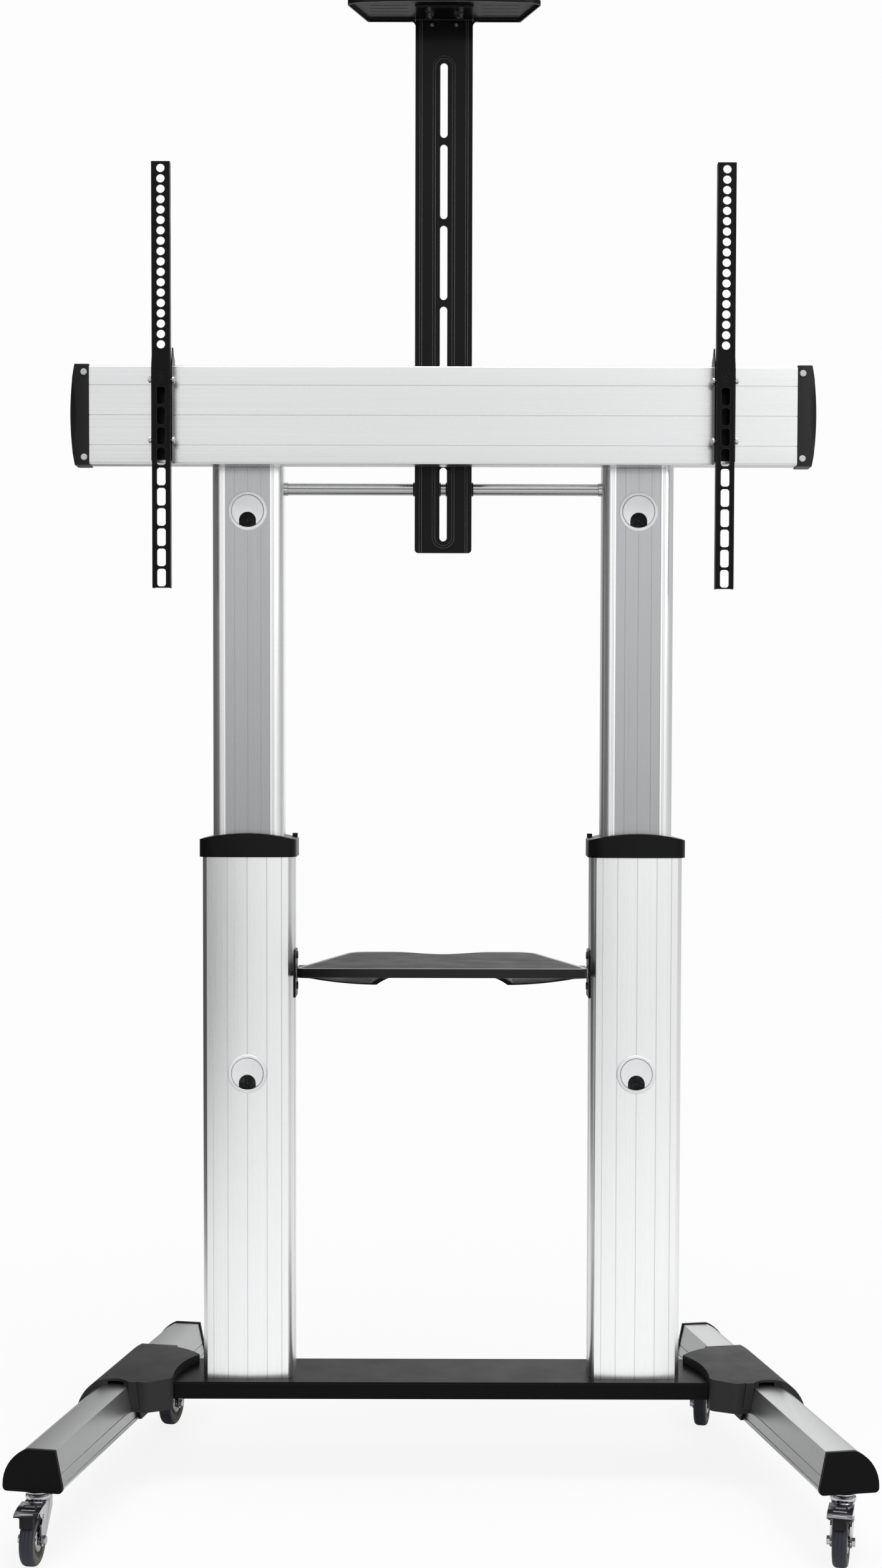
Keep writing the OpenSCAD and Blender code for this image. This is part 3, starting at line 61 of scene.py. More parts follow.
def grey_ramp(tree, socket, stops):
    """A grey ramp over a socket's -1..1 value; stops are (value, level) pairs."""
    mapped = tree.nodes.new("ShaderNodeMapRange")
    mapped.inputs["From Min"].default_value = -1.0
    tree.links.new(socket, mapped.inputs["Value"])
    colours = tree.nodes.new("ShaderNodeValToRGB")
    elements = colours.color_ramp.elements
    while len(elements) < len(stops):
        elements.new(0.5)
    for element, (at, level) in zip(elements, stops):
        element.position = (at + 1) / 2
        element.color = (level, level, level, 1.0)
    tree.links.new(mapped.outputs["Result"], colours.inputs["Fac"])
    return colours


class Shader:
    """A node material under construction around one Principled BSDF."""

    def __init__(self, name):
        self.material = bpy.data.materials.new(name)
        self.material.use_nodes = True
        self.tree = self.material.node_tree
        self.tree.nodes.clear()
        self.output = self.node("ShaderNodeOutputMaterial")
        self.bsdf = self.node("ShaderNodeBsdfPrincipled")
        self.join(self.bsdf, "BSDF", self.output, "Surface")
        self.place = self.node("ShaderNodeTexCoord")

    def node(self, kind, **values):
        made = self.tree.nodes.new(kind)
        for key, value in values.items():
            setattr(made, key, value)
        return made

    def join(self, source, out, target, slot):
        self.tree.links.new(source.outputs[out], target.inputs[slot])

    def set(self, **values):
        names = {
            "metal": "Metallic", "rough": "Roughness", "specular": "Specular IOR Level",
            "aniso": "Anisotropic", "sheen": "Sheen Weight",
        }
        for key, value in values.items():
            self.bsdf.inputs[names[key]].default_value = value

    def stretch(self, scale):
        """Object coordinates, in metres, scaled per axis."""
        mapping = self.node("ShaderNodeMapping")
        mapping.inputs["Scale"].default_value = scale
        self.join(self.place, "Object", mapping, "Vector")
        return mapping

    def noise(self, scale, detail, rough=0.5):
        """Noise whose scale may differ per axis, in cycles per metre."""
        scales = scale if isinstance(scale, tuple) else (scale, scale, scale)
        texture = self.node("ShaderNodeTexNoise")
        texture.inputs["Scale"].default_value = 1.0
        texture.inputs["Detail"].default_value = detail
        texture.inputs["Roughness"].default_value = rough
        self.join(self.stretch(scales), "Vector", texture, "Vector")
        return texture

    def spread(self, source, out, low, high):
        """The middle of a noise's 0..1 value, 0.3 to 0.7, mapped onto low..high."""
        mapped = self.node("ShaderNodeMapRange")
        mapped.inputs["From Min"].default_value = 0.3
        mapped.inputs["From Max"].default_value = 0.7
        mapped.inputs["To Min"].default_value = low
        mapped.inputs["To Max"].default_value = high
        self.join(source, out, mapped, "Value")
        return mapped

    def blend(self, factor, out, low, high):
        """A colour between low and high by factor."""
        mix = self.node("ShaderNodeMix", data_type="RGBA")
        mix.inputs["A"].default_value = (*low, 1.0)
        mix.inputs["B"].default_value = (*high, 1.0)
        self.join(factor, out, mix, "Factor")
        return mix

    def over(self, factor, out, below, above):
        """A colour laid over node below by factor; above is a node or an RGB colour."""
        mix = self.node("ShaderNodeMix", data_type="RGBA")
        self.join(factor, out, mix, "Factor")
        self.join(below, "Result", mix, "A")
        if isinstance(above, list):
            mix.inputs["B"].default_value = (*above, 1.0)
        else:
            self.join(above, "Result", mix, "B")
        return mix

    def cavity(self, reach=0.0025):
        """1 deep in a groove or a tight corner, 0 on an open face: the mask for painted shade."""
        hidden = self.node("ShaderNodeAmbientOcclusion", samples=8)
        hidden.inputs["Distance"].default_value = reach
        shut = self.math("SUBTRACT", 0.7, (hidden, "AO"))
        return self.math("MULTIPLY", (shut, "Value"), 1.5)

    def column_band(self):
        """1 on the middle band of an upper column, 0 on its flanks."""
        split = self.node("ShaderNodeSeparateXYZ")
        self.join(self.place, "Object", split, "Vector")
        side = self.math("ABSOLUTE", (split, "X"), 0.0)
        offset = self.math("SUBTRACT", (side, "Value"), COLUMN_X)
        away = self.math("ABSOLUTE", (offset, "Value"), 0.0)
        return self.math("LESS_THAN", (away, "Value"), BAND_HALF)

    def math(self, operation, first, second):
        """A Math node; each side is a number or a (node, output) pair."""
        made = self.node("ShaderNodeMath", operation=operation)
        for index, side in enumerate((first, second)):
            if isinstance(side, tuple):
                self.tree.links.new(side[0].outputs[side[1]], made.inputs[index])
            else:
                made.inputs[index].default_value = side
        return made

    def bump(self, source, out, height, strength):
        """Adds a bump whose full range of source is height metres."""
        made = self.node("ShaderNodeBump")
        made.inputs["Strength"].default_value = strength
        made.inputs["Distance"].default_value = height
        self.join(source, out, made, "Height")
        self.join(made, "Normal", self.bsdf, "Normal")

    def edges(self):
        """1 on edges, painted lighter for wear and a painted highlight, 0 on flat faces."""
        rounded = self.node("ShaderNodeBevel", samples=4)
        rounded.inputs["Radius"].default_value = 0.0008
        geometry = self.node("ShaderNodeNewGeometry")
        agree = self.node("ShaderNodeVectorMath", operation="DOT_PRODUCT")
        self.tree.links.new(rounded.outputs["Normal"], agree.inputs[0])
        self.tree.links.new(geometry.outputs["Normal"], agree.inputs[1])
        mapped = self.node("ShaderNodeMapRange")
        mapped.inputs["From Min"].default_value = 0.995
        mapped.inputs["From Max"].default_value = 0.90
        self.join(agree, "Value", mapped, "Value")
        return mapped

    def mirrored_room(self, stops):
        """Levels by the height of the mirrored direction: painted reflections of the room's bands, for
        plating.
        """
        split = self.node("ShaderNodeSeparateXYZ")
        self.join(self.place, "Reflection", split, "Vector")
        return grey_ramp(self.tree, split.outputs["Z"], stops)


# grain of each surface, in cycles per metre, and the height of its bumps, in metres
DRAW_FINE = 2600.0
DRAW_BROAD = 260.0
PEEL_HEIGHT = 0.00003
SPARK = 2200.0
SPARK_HEIGHT = 0.00005
DOT_PITCH = 0.0024


def extrusion(name, base, rough, along, band=None, aniso=0.2, groove_shade_level=0.12, streak=0.02):
    """Satin anodised aluminium with fine draw lines along one axis: 0 for X, 1 for Y, 2 for Z.

    band is the colour of the sunken middle band of an upper column, and None elsewhere. groove_shade_level
    is the fraction of the face colour left in the grooves, which are painted in shade, and streak how far
    the draw lines stray in tone.
    """
    s = Shader(name)
    s.set(metal=1.0, aniso=aniso)
    across = s.node("ShaderNodeCombineXYZ")
    across.inputs[0 if along else 2].default_value = 1.0
    s.join(across, "Vector", s.bsdf, "Tangent")
    fine = [DRAW_FINE] * 3
    fine[along] = 3.0
    lines = s.noise(tuple(fine), detail=2.0)
    broad = [DRAW_BROAD] * 3
    broad[along] = 1.2
    drawn = s.noise(tuple(broad), detail=5.0, rough=0.7)
    tint = s.blend(drawn, "Fac", [c * (1 - 2 * streak) for c in base], [c * (1 + streak) for c in base])
    colour = tint
    if band:
        brushed = s.noise((1500.0, 1500.0, 2.0), detail=1.0)
        inner = s.blend(brushed, "Fac", [c * 0.94 for c in band], [c * 1.06 for c in band])
        colour = s.over(s.column_band(), "Value", tint, inner)
    # painted shade: grooves and tight corners are darkened toward a fraction of the face colour
    groove_shaded = s.over(s.cavity(), "Value", colour, [c * groove_shade_level for c in base])
    s.join(groove_shaded, "Result", s.bsdf, "Base Color")
    s.join(s.spread(lines, "Fac", rough - 0.05, rough + 0.05), "Result", s.bsdf, "Roughness")
    s.bump(lines, "Fac", 0.00001, 0.4)
    return s.material


def coated(name, base, rough, specular, grain=1400.0, edge_wear_and_highlight=0.16):
    """Paint or powder coat: fine orange peel, faint mottling, and edges painted lighter, partly wear and
    partly a painted highlight.
    """
    s = Shader(name)
    s.set(specular=specular)
    peel = s.noise(grain, detail=2.0)
    cloud = s.noise(14.0, detail=5.0)
    tint = s.blend(cloud, "Fac", [c * 0.85 for c in base], [c * 1.2 for c in base])
    # edges painted lighter: partly paint wear, partly a painted highlight along the rims
    worn_and_highlit = s.over(s.edges(), "Result", tint, [edge_wear_and_highlight] * 3)
    s.join(worn_and_highlit, "Result", s.bsdf, "Base Color")
    s.join(s.spread(cloud, "Fac", rough - 0.04, rough + 0.06), "Result", s.bsdf, "Roughness")
    s.bump(peel, "Fac", PEEL_HEIGHT, 0.6)
    return s.material


def moulded(name, base, rough, specular=0.25):
    """Moulded plastic with a fine spark texture, and painted shade in its grooves and tight corners."""
    s = Shader(name)
    s.set(specular=specular)
    spark = s.noise(SPARK, detail=1.0)
    cloud = s.noise(20.0, detail=3.0)
    tint = s.blend(cloud, "Fac", [c * 0.9 for c in base], [c * 1.12 for c in base])
    # painted shade: grooves and tight corners are darkened toward a tenth of the plastic's colour
    groove_shaded = s.over(s.cavity(), "Value", tint, [c * 0.1 for c in base])
    s.join(groove_shaded, "Result", s.bsdf, "Base Color")
    s.join(s.spread(cloud, "Fac", rough - 0.04, rough + 0.05), "Result", s.bsdf, "Roughness")
    s.bump(spark, "Fac", SPARK_HEIGHT, 0.5)
    return s.material


def plated(name, base, rough, painted_reflection_dark=0.16):
    """Bright plated metal with faint smears and fine scratches, with painted reflections of the room's
    bands in its colour and painted shade in its grooves; painted_reflection_dark is the level of the darker
    painted reflection bands.
    """
    s = Shader(name)
    s.set(metal=1.0)
    smear = s.noise(60.0, detail=4.0)
    scratch = s.noise((4000.0, 300.0, 3000.0), detail=1.0)
    tint = s.blend(smear, "Fac", [c * 0.9 for c in base], base)
    # painted reflection: the room's bands, by the height of the mirrored direction, multiplied into the
    # colour
    room = s.mirrored_room([(-1.0, 0.30), (-0.45, 0.55), (-0.2, 1.0), (-0.04, 0.85), (0.04, painted_reflection_dark),
                            (0.30, 0.6 * painted_reflection_dark), (0.42, 0.90), (0.7, 1.0), (1.0, 0.20)])
    shade = s.node("ShaderNodeMix", data_type="RGBA", blend_type="MULTIPLY")
    shade.inputs["Factor"].default_value = 1.0
    s.join(tint, "Result", shade, "A")
    s.join(room, "Color", shade, "B")
    # painted shade: grooves and tight corners are darkened toward a small fraction of the colour
    groove_shaded = s.over(s.cavity(0.0018), "Value", shade, [c * 0.06 for c in base])
    s.join(groove_shaded, "Result", s.bsdf, "Base Color")
    s.join(s.spread(smear, "Fac", rough, rough + 0.12), "Result", s.bsdf, "Roughness")
    s.bump(scratch, "Fac", 0.00001, 0.3)
    return s.material


def rubber(name, base, rough):
    """Matte rubber with a soft mottled bloom."""
    s = Shader(name)
    s.set(specular=0.25, sheen=0.05)
    bloom = s.noise(160.0, detail=5.0)
    tint = s.blend(bloom, "Fac", [c * 0.8 for c in base], [c * 1.25 for c in base])
    s.join(tint, "Result", s.bsdf, "Base Color")
    s.join(s.spread(bloom, "Fac", rough - 0.05, rough + 0.06), "Result", s.bsdf, "Roughness")
    s.bump(bloom, "Fac", 0.00006, 0.4)
    return s.material


def dotted(name, base, rough):
    """Rubber mat with a fine grid of raised dots."""
    s = Shader(name)
    s.set(specular=0.25)
    cells = s.node("ShaderNodeTexVoronoi", feature="F1", distance="EUCLIDEAN")
    cells.inputs["Scale"].default_value = 1.0
    cells.inputs["Randomness"].default_value = 0.0
    s.join(s.stretch((1 / DOT_PITCH, 1 / DOT_PITCH, 0.0)), "Vector", cells, "Vector")
    dot = s.node("ShaderNodeMapRange", interpolation_type="SMOOTHSTEP")
    dot.inputs["From Min"].default_value = 0.22
    dot.inputs["From Max"].default_value = 0.34
    dot.inputs["To Min"].default_value = 1.0
    dot.inputs["To Max"].default_value = 0.0
    s.join(cells, "Distance", dot, "Value")
    tint = s.blend(dot, "Result", base, [c * 2.6 for c in base])
    s.join(tint, "Result", s.bsdf, "Base Color")
    cloud = s.noise(18.0, detail=4.0)
    s.join(s.spread(cloud, "Fac", rough - 0.05, rough + 0.07), "Result", s.bsdf, "Roughness")
    s.bump(dot, "Result", 0.0003, 0.6)
    return s.material


SILVER = (0.93, 0.935, 0.94)
MATERIALS = {
    "column": extrusion("column_silver", SILVER, 0.30, 2),
    "rail": extrusion("rail_silver", (0.68, 0.683, 0.688), 0.26, 0, aniso=0.0, groove_shade_level=0.02),
    "leg": extrusion("leg_silver", (0.58, 0.585, 0.59), 0.34, 1, groove_shade_level=0.45, streak=0.04),
    "band": extrusion("column_grey", SILVER, 0.28, 2, band=(0.42, 0.43, 0.44)),
    "rod": plated("rod_silver", (0.95, 0.95, 0.96), 0.18),
    "arm": coated("arm_black", (0.0028, 0.0028, 0.0028), 0.30, specular=0.09, edge_wear_and_highlight=0.05),
    "mast": coated("mast_black", (0.0028, 0.0028, 0.0028), 0.26, specular=0.12),
    "gloss": coated("shelf_black", (0.003, 0.003, 0.0035), 0.16, specular=0.36, grain=500.0, edge_wear_and_highlight=0.03),
    "plate": coated("plate_black", (0.0028, 0.0028, 0.0028), 0.30, specular=0.07, edge_wear_and_highlight=0.03),
    "cover": moulded("cover_grey", (0.016, 0.016, 0.017), 0.50),
    "end": moulded("end_grey", (0.009, 0.009, 0.0095), 0.40, specular=0.2),
    "collar": moulded("collar_black", (0.004, 0.004, 0.0045), 0.30, specular=0.12),
    "cap": moulded("cap_black", (0.003, 0.003, 0.0032), 0.34, specular=0.08),
    "grommet": moulded("grommet_silver", (0.70, 0.71, 0.72), 0.30, specular=0.5),
    "bristle": rubber("bristle_black", (0.006, 0.006, 0.006), 0.7),
    "bush": moulded("bush_white", (0.80, 0.80, 0.76), 0.45),
    "screw": coated("screw_black", (0.02, 0.02, 0.02), 0.35, specular=0.3),
    "zinc": plated("zinc", (0.74, 0.74, 0.75), 0.20, painted_reflection_dark=0.8),
    "chrome": plated("caster_chrome", (0.66, 0.66, 0.69), 0.12, painted_reflection_dark=0.22),
    "tread": rubber("tyre_rubber", (0.022, 0.024, 0.033), 0.5),
    "sidewall": rubber("tyre_sidewall", (0.085, 0.078, 0.066), 0.5),
    "core": moulded("wheel_core", (0.060, 0.056, 0.050), 0.45),
    "mat": dotted("mat_grey", (0.012, 0.012, 0.013), 0.50),
}

LOOKS = {
    "column": ["outer_column_left", "outer_column_right"],
    "rail": ["rail"],
    "rod": ["tie_rod", "tie_rod_fittings"],
    "leg": ["leg_left", "leg_right"],
    "band": ["inner_column_left", "inner_column_right"],
    "mast": ["mast", "camera_shelf"],
    "arm": ["mast_carrier", "display_arm_left", "display_arm_right", "hook_left", "hook_right",
            "rail_brackets", "shelf_clamps", "shelf_supports"],
    "gloss": ["shelf_tray"],
    "plate": ["base_plate"],
    "cover": ["hub_covers"],
    "collar": ["collars"],
    "cap": ["leg_end_caps"],
    "grommet": ["lower_grommets", "upper_grommets"],
    "bush": ["guide_bushes", "slide_shoes"],
    "screw": ["height_lock_bolts", "shelf_screws"],
    "zinc": ["base_bolts", "frame_bolts", "camera_shelf_screws", "tilt_bolts_left", "tilt_bolts_right",
             "rail_cap_screws"],
    "chrome": ["caster_stems"]
              + [f"caster_fork_{c}" for c in CASTERS]
              + [f"caster_axle_{c}" for c in CASTERS],
    "mat": ["shelf_mat"],
}


def paint(obj, material):
    """Gives every face of obj one material; clearing the slots resets the faces' indices."""
    obj.data.materials.clear()
    obj.data.materials.append(material)


for look, names in LOOKS.items():
    for node_name in names:
        paint(NODES[node_name], MATERIALS[look])


# ---------------------------------------------------------------- softened edges on the CAD nodes

SHARP = math.radians(32)
COPLANAR = math.radians(0.05)
WELD = 0.00002


def smoothing_group():
    """Geometry nodes that shade faces smooth and keep an edge sharp if it turns by more than SHARP."""
    tree = bpy.data.node_groups.new("smooth_by_angle", "GeometryNodeTree")
    tree.interface.new_socket("Geometry", in_out="INPUT", socket_type="NodeSocketGeometry")
    tree.interface.new_socket("Geometry", in_out="OUTPUT", socket_type="NodeSocketGeometry")
    source = tree.nodes.new("NodeGroupInput")
    target = tree.nodes.new("NodeGroupOutput")
    faces = tree.nodes.new("GeometryNodeSetShadeSmooth")
    faces.domain = "FACE"
    edges = tree.nodes.new("GeometryNodeSetShadeSmooth")
    edges.domain = "EDGE"
    turn = tree.nodes.new("GeometryNodeInputMeshEdgeAngle")
    flat = tree.nodes.new("FunctionNodeCompare")
    flat.operation = "LESS_EQUAL"
    flat.inputs["B"].default_value = SHARP
    tree.links.new(source.outputs[0], faces.inputs["Geometry"])
    tree.links.new(faces.outputs["Geometry"], edges.inputs["Geometry"])
    tree.links.new(turn.outputs["Unsigned Angle"], flat.inputs["A"])
    tree.links.new(flat.outputs["Result"], edges.inputs["Shade Smooth"])
    tree.links.new(edges.outputs["Geometry"], target.inputs[0])
    return tree


SMOOTH = smoothing_group()


def soften(obj, width):
    """Rounds an object's sharp edges by width millimetres, with modifiers only."""
    weld = obj.modifiers.new("weld", "WELD")
    weld.merge_threshold = WELD
    flatten = obj.modifiers.new("flatten", "DECIMATE")
    flatten.decimate_type = "DISSOLVE"
    flatten.angle_limit = COPLANAR
    before = obj.modifiers.new("smooth", "NODES")
    before.node_group = SMOOTH
    bevel = obj.modifiers.new("bevel", "BEVEL")
    bevel.width = width * MM
    bevel.segments = 2
    bevel.limit_method = "ANGLE"
    bevel.angle_limit = SHARP
    bevel.harden_normals = True


EDGE_WIDTHS = {
    0.3: ["outer_column_left", "outer_column_right", "inner_column_left", "inner_column_right", "rail",
          "tie_rod", "tie_rod_fittings", "lower_grommets", "upper_grommets", "tilt_bolts_left",
          "tilt_bolts_right", "rail_cap_screws", "camera_shelf_screws", "shelf_screws", "height_lock_bolts",
          "frame_bolts", "base_bolts", "caster_stems"]
         + [f"caster_axle_{c}" for c in CASTERS],
    0.5: ["leg_left", "leg_right", "mast", "mast_carrier", "display_arm_left", "display_arm_right",
          "hook_left", "hook_right", "shelf_mat", "shelf_clamps", "shelf_supports", "guide_bushes",
          "slide_shoes"]
         + [f"caster_fork_{c}" for c in CASTERS],
    0.8: ["base_plate", "camera_shelf", "shelf_tray", "rail_brackets"],
    1.2: ["leg_end_caps", "collars"],
    2.5: ["hub_covers"],
}

for edge_width, names in EDGE_WIDTHS.items():
    for node_name in names:
        soften(NODES[node_name], edge_width)


# ---------------------------------------------------------------- pieces built here

def new_piece(name, mesh, body, slot, *materials):
    """An object of mesh that rides on body; each face keeps its index into materials."""
    obj = bpy.data.objects.new(name, mesh)
    bpy.context.collection.objects.link(obj)
    for material in materials:
        mesh.materials.append(material)
    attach(obj, body)
    return obj


def closed_mesh(name, bm):
    """The finished mesh of bm, with its faces turned outwards."""
    bmesh.ops.recalc_face_normals(bm, faces=bm.faces)
    mesh = bpy.data.meshes.new(name)
    bm.to_mesh(mesh)
    bm.free()
    return mesh


def lathe(name, outline, slots, place, steps=96):
    """Mesh of a closed outline of (radius, offset) points, in millimetres, turned around place's X axis.

    slots gives each outline edge's material index.
    """
    bm = bmesh.new()
    rings = []
    for i in range(steps):
        turn = 2 * math.pi * i / steps
        across, up = math.cos(turn) * MM, math.sin(turn) * MM
        rings.append([bm.verts.new(place @ Vector((along * MM, radius * across, radius * up)))
                      for radius, along in outline])
    count = len(outline)
    for i in range(steps):
        here, there = rings[i], rings[(i + 1) % steps]
        for j in range(count):
            k = (j + 1) % count
            face = bm.faces.new((here[j], there[j], there[k], here[k]))
            face.material_index = slots[j]
            face.smooth = True
    return closed_mesh(name, bm)


def wheel_place(corner):
    """Axle frame of one wheel: X along the axle, the origin in the middle of the wheel."""
    low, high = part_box(f"tyre_{corner}")
    centre = (low + high) / 2
    joint = next(j for j in frame["joints"] if j["name"] == f"roll_{corner}")
    axle = Vector(joint["axis"]).normalized()
    up = Vector((0.0, 0.0, 1.0))
    side = up.cross(axle)
    turn = Matrix((axle, side, up)).transposed().to_4x4()
    return Matrix.Translation(centre) @ turn


WHEEL_R = (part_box("tyre_front_left")[1].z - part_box("tyre_front_left")[0].z) / 2 / MM
RIM_R = 24.5
SHOULDER = 4.2
DISC_R = 17.5
TYRE_HALF = 11.0
CORE_BORE = 4.06
CORE_HALF = 12.9


def mirrored(half):
    """A closed outline from its positive-side half, which runs from the outside in."""
    return half + [(radius, -along) for radius, along in reversed(half)]


def edge_radii(outline):
    """The radii of the two ends of each edge of a closed outline."""
    radii = [radius for radius, _ in outline]
    return zip(radii, radii[1:] + radii[:1])


def tyre_outline():
    """Tread with rounded shoulders, then a sidewall with a moulded bead line."""
    r, h = WHEEL_R, TYRE_HALF
    crown = [(r, 2.2), (r - 0.45, 2.5), (r - 0.45, 3.1), (r, 3.4), (r - 0.15, 5.2), (r - 0.7, 7.4),
             (r - 1.9, 9.3), (r - 3.4, 10.4)]
    wall = [(r - 5.0, h - 0.15), (r - 5.6, h - 0.15), (r - 6.0, h - 0.6), (r - 6.6, h - 0.6),
            (r - 7.0, h - 0.1), (r - 9.5, h), (RIM_R + 1.6, h - 0.2), (RIM_R, h - 1.2)]
    outline = mirrored(crown + wall)
    slots = [0 if min(ends) > r - SHOULDER else 1 for ends in edge_radii(outline)]
    return outline, slots


def core_outline():
    """Plastic core with a dished web between its rim and a bright disc around the axle."""
    half = [(RIM_R, 9.2), (RIM_R - 0.6, 9.6), (RIM_R - 1.4, 9.4), (RIM_R - 2.0, 8.4), (19.5, 6.6),
            (18.2, 6.6), (17.6, 7.2), (17.2, 9.0), (16.6, 10.0), (15.4, 10.5), (12.0, 10.9), (8.6, 11.0),
            (8.0, 11.6), (7.6, CORE_HALF), (CORE_BORE, CORE_HALF)]
    outline = mirrored(half)
    slots = [1 if max(ends) < DISC_R else 0 for ends in edge_radii(outline)]
    return outline, slots


def wheels():
    """A moulded tyre and a plastic core with bright discs for each caster."""
    for corner in CASTERS:
        body = f"wheel_{corner}"
        place = wheel_place(corner)
        tyre = new_piece(f"tyre_{corner}_moulded", lathe("tyre", *tyre_outline(), place), body,
                         "tyre_rubber", MATERIALS["tread"], MATERIALS["sidewall"])
        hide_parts(f"tyre_{corner}")
        core = new_piece(f"wheel_core_{corner}", lathe("core", *core_outline(), place), body,
                         "wheel_core", MATERIALS["core"], MATERIALS["chrome"])
        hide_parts(f"wheel_hub_{corner}")


def caster_place(corner):
    """Swivel frame of one caster: Z up along the swivel axis from the floor, -Y towards its wheel."""
    low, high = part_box(f"tyre_{corner}")
    joint = next(j for j in frame["joints"] if j["name"] == f"swivel_{corner}")
    pivot = Vector(joint["pos_m"])
    back = pivot - (low + high) / 2
    back.z = 0.0
    back.normalize()
    up = Vector((0.0, 0.0, 1.0))
    turn = Matrix((back.cross(up), back, up)).transposed().to_4x4()
    return Matrix.Translation((pivot.x, pivot.y, 0.0)) @ turn


def add_frame(bm, place, size, width, height):
    """Raised rectangular rim on place's XY plane, slightly sunk in; size is its outer length and depth."""
    sunk, draft = -0.4, 0.2
    rings = []
    for inset, lift in ((0.0, sunk), (draft, height), (width - draft, height), (width, sunk)):
        x, y = size[0] / 2 - inset, size[1] / 2 - inset
        rings.append([bm.verts.new(place @ (Vector((sx * x, sy * y, lift)) * MM))
                      for sx, sy in ((-1, -1), (1, -1), (1, 1), (-1, 1))])
    for n, ring in enumerate(rings):
        following = rings[(n + 1) % len(rings)]
        for i in range(4):
            k = (i + 1) % 4
            bm.faces.new((ring[i], ring[k], following[k], following[i]))


SHOE_HALF = 10.1
SHOE_BACK = -48.9
SHOE_TOP = 84.4
PEDAL_MIDDLE = (0.0, -46.0, 88.75)
PEDAL_SLOPE = math.radians(8.0)
STAMP_SIZE = (20, 14)
STAMP_WIDTH = 2.4
STAMP_HEIGHT = 0.8


def pedals():
    """Bright pressed pedals with a stamped rim on top and a black brake shoe below."""
    for side in ("left", "right"):
        place = caster_place(f"front_{side}")
        local = place.inverted()
        bm = bmesh.new()
        bm.from_mesh(NODES[f"brake_pedal_{side}"].data)
        bmesh.ops.remove_doubles(bm, verts=bm.verts, dist=WELD)
        for face in bm.faces:
            x, y, z = (local @ face.calc_center_median()) / MM
            shoe = abs(x) < SHOE_HALF and y < SHOE_BACK and z < SHOE_TOP
            face.material_index = 1 if shoe else 0
            face.smooth = True
        middle = Matrix.Translation(Vector(PEDAL_MIDDLE) * MM)
        add_frame(bm, place @ middle @ Matrix.Rotation(PEDAL_SLOPE, 4, "X"), STAMP_SIZE, STAMP_WIDTH,
                  STAMP_HEIGHT)
        mesh = closed_mesh(f"pedal_{side}", bm)
        pedal = new_piece(f"brake_pedal_{side}_pressed", mesh, f"pedal_{side}", "caster_chrome",
                          MATERIALS["chrome"], MATERIALS["bristle"])
        soften(pedal, 0.35)
        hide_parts(f"brake_pedal_{side}")


MOUTH_R = 13.5
MOUTH_DROP = 15.0
CAP_R = 25.5
BRISTLES = 84
BRISTLE_ROWS = 3
ROW_PITCH = 0.6
BRISTLE_HALF = 0.16
BRISTLE_GAP = 0.15


def mouth_reach(turn):
    """Distance from the middle of a grommet's mouth to its edge, in the direction turn, in millimetres."""
    across, up = math.cos(turn), math.sin(turn)
    reach = MOUTH_R if up >= 0 else MOUTH_R / max(abs(across), 0.001)
    # distance at which the ray leaves the cap, whose middle is MOUTH_DROP above the mouth's
    cap = MOUTH_DROP * up + math.sqrt((MOUTH_DROP * up) ** 2 + CAP_R ** 2 - MOUTH_DROP ** 2)
    return min(reach, cap)


def strand(bm, root, tip, thick):
    """A tapered four-sided bristle from root to tip."""
    along = (tip - root).normalized()
    side = Vector((0.0, 1.0, 0.0)).cross(along)
    rings = []
    for end, half in ((root, thick), (tip, thick * 0.45)):
        depth = Vector((0.0, half, 0.0))
        rings.append([bm.verts.new(end + offset) for offset in (side * half, depth, -side * half, -depth)])
    for i in range(4):
        k = (i + 1) % 4
        bm.faces.new((rings[0][i], rings[0][k], rings[1][k], rings[1][i]))
    bm.faces.new(rings[0][::-1])
    bm.faces.new(rings[1])


def bristles(name, node, body):
    """Radial bristles in the mouths of a pair of grommets, three staggered rows deep."""
    rng = random.Random(7)
    low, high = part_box(node)
    bm = bmesh.new()
    depth = (low.y + high.y) / 2
    half = (high.x - low.x) / 2 - MOUTH_R * MM
    bottom = low.z
    middle = bottom + (CAP_R - MOUTH_DROP) * MM
    for side in (-1, 1):
        for row in range(BRISTLE_ROWS):
            for i in range(BRISTLES):
                step = i + row / BRISTLE_ROWS + rng.uniform(-0.2, 0.2)
                turn = 2 * math.pi * step / BRISTLES
                outer = (mouth_reach(turn) - BRISTLE_GAP) * MM
                inner = (rng.uniform(0.6, 2.4) + 0.4 * row) * MM
                lean = turn + rng.uniform(-0.05, 0.05)
                y = depth + (row - 1) * ROW_PITCH * MM
                root = Vector((side * half + outer * math.cos(turn), y, middle + outer * math.sin(turn)))
                tip = Vector((side * half + inner * math.cos(lean), y, middle + inner * math.sin(lean)))
                strand(bm, root, tip, BRISTLE_HALF * MM)
    piece = new_piece(name, closed_mesh(name, bm), body, "bristle_black", MATERIALS["bristle"])
    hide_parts(node)


END_STEPS = 48
END_LENGTH = 27.0
END_BOW = 4.0
END_SWELL = 4.0
LENS_HALF = 0.72
LENS_IN = 9.5
LENS_DEPTH = 6.0


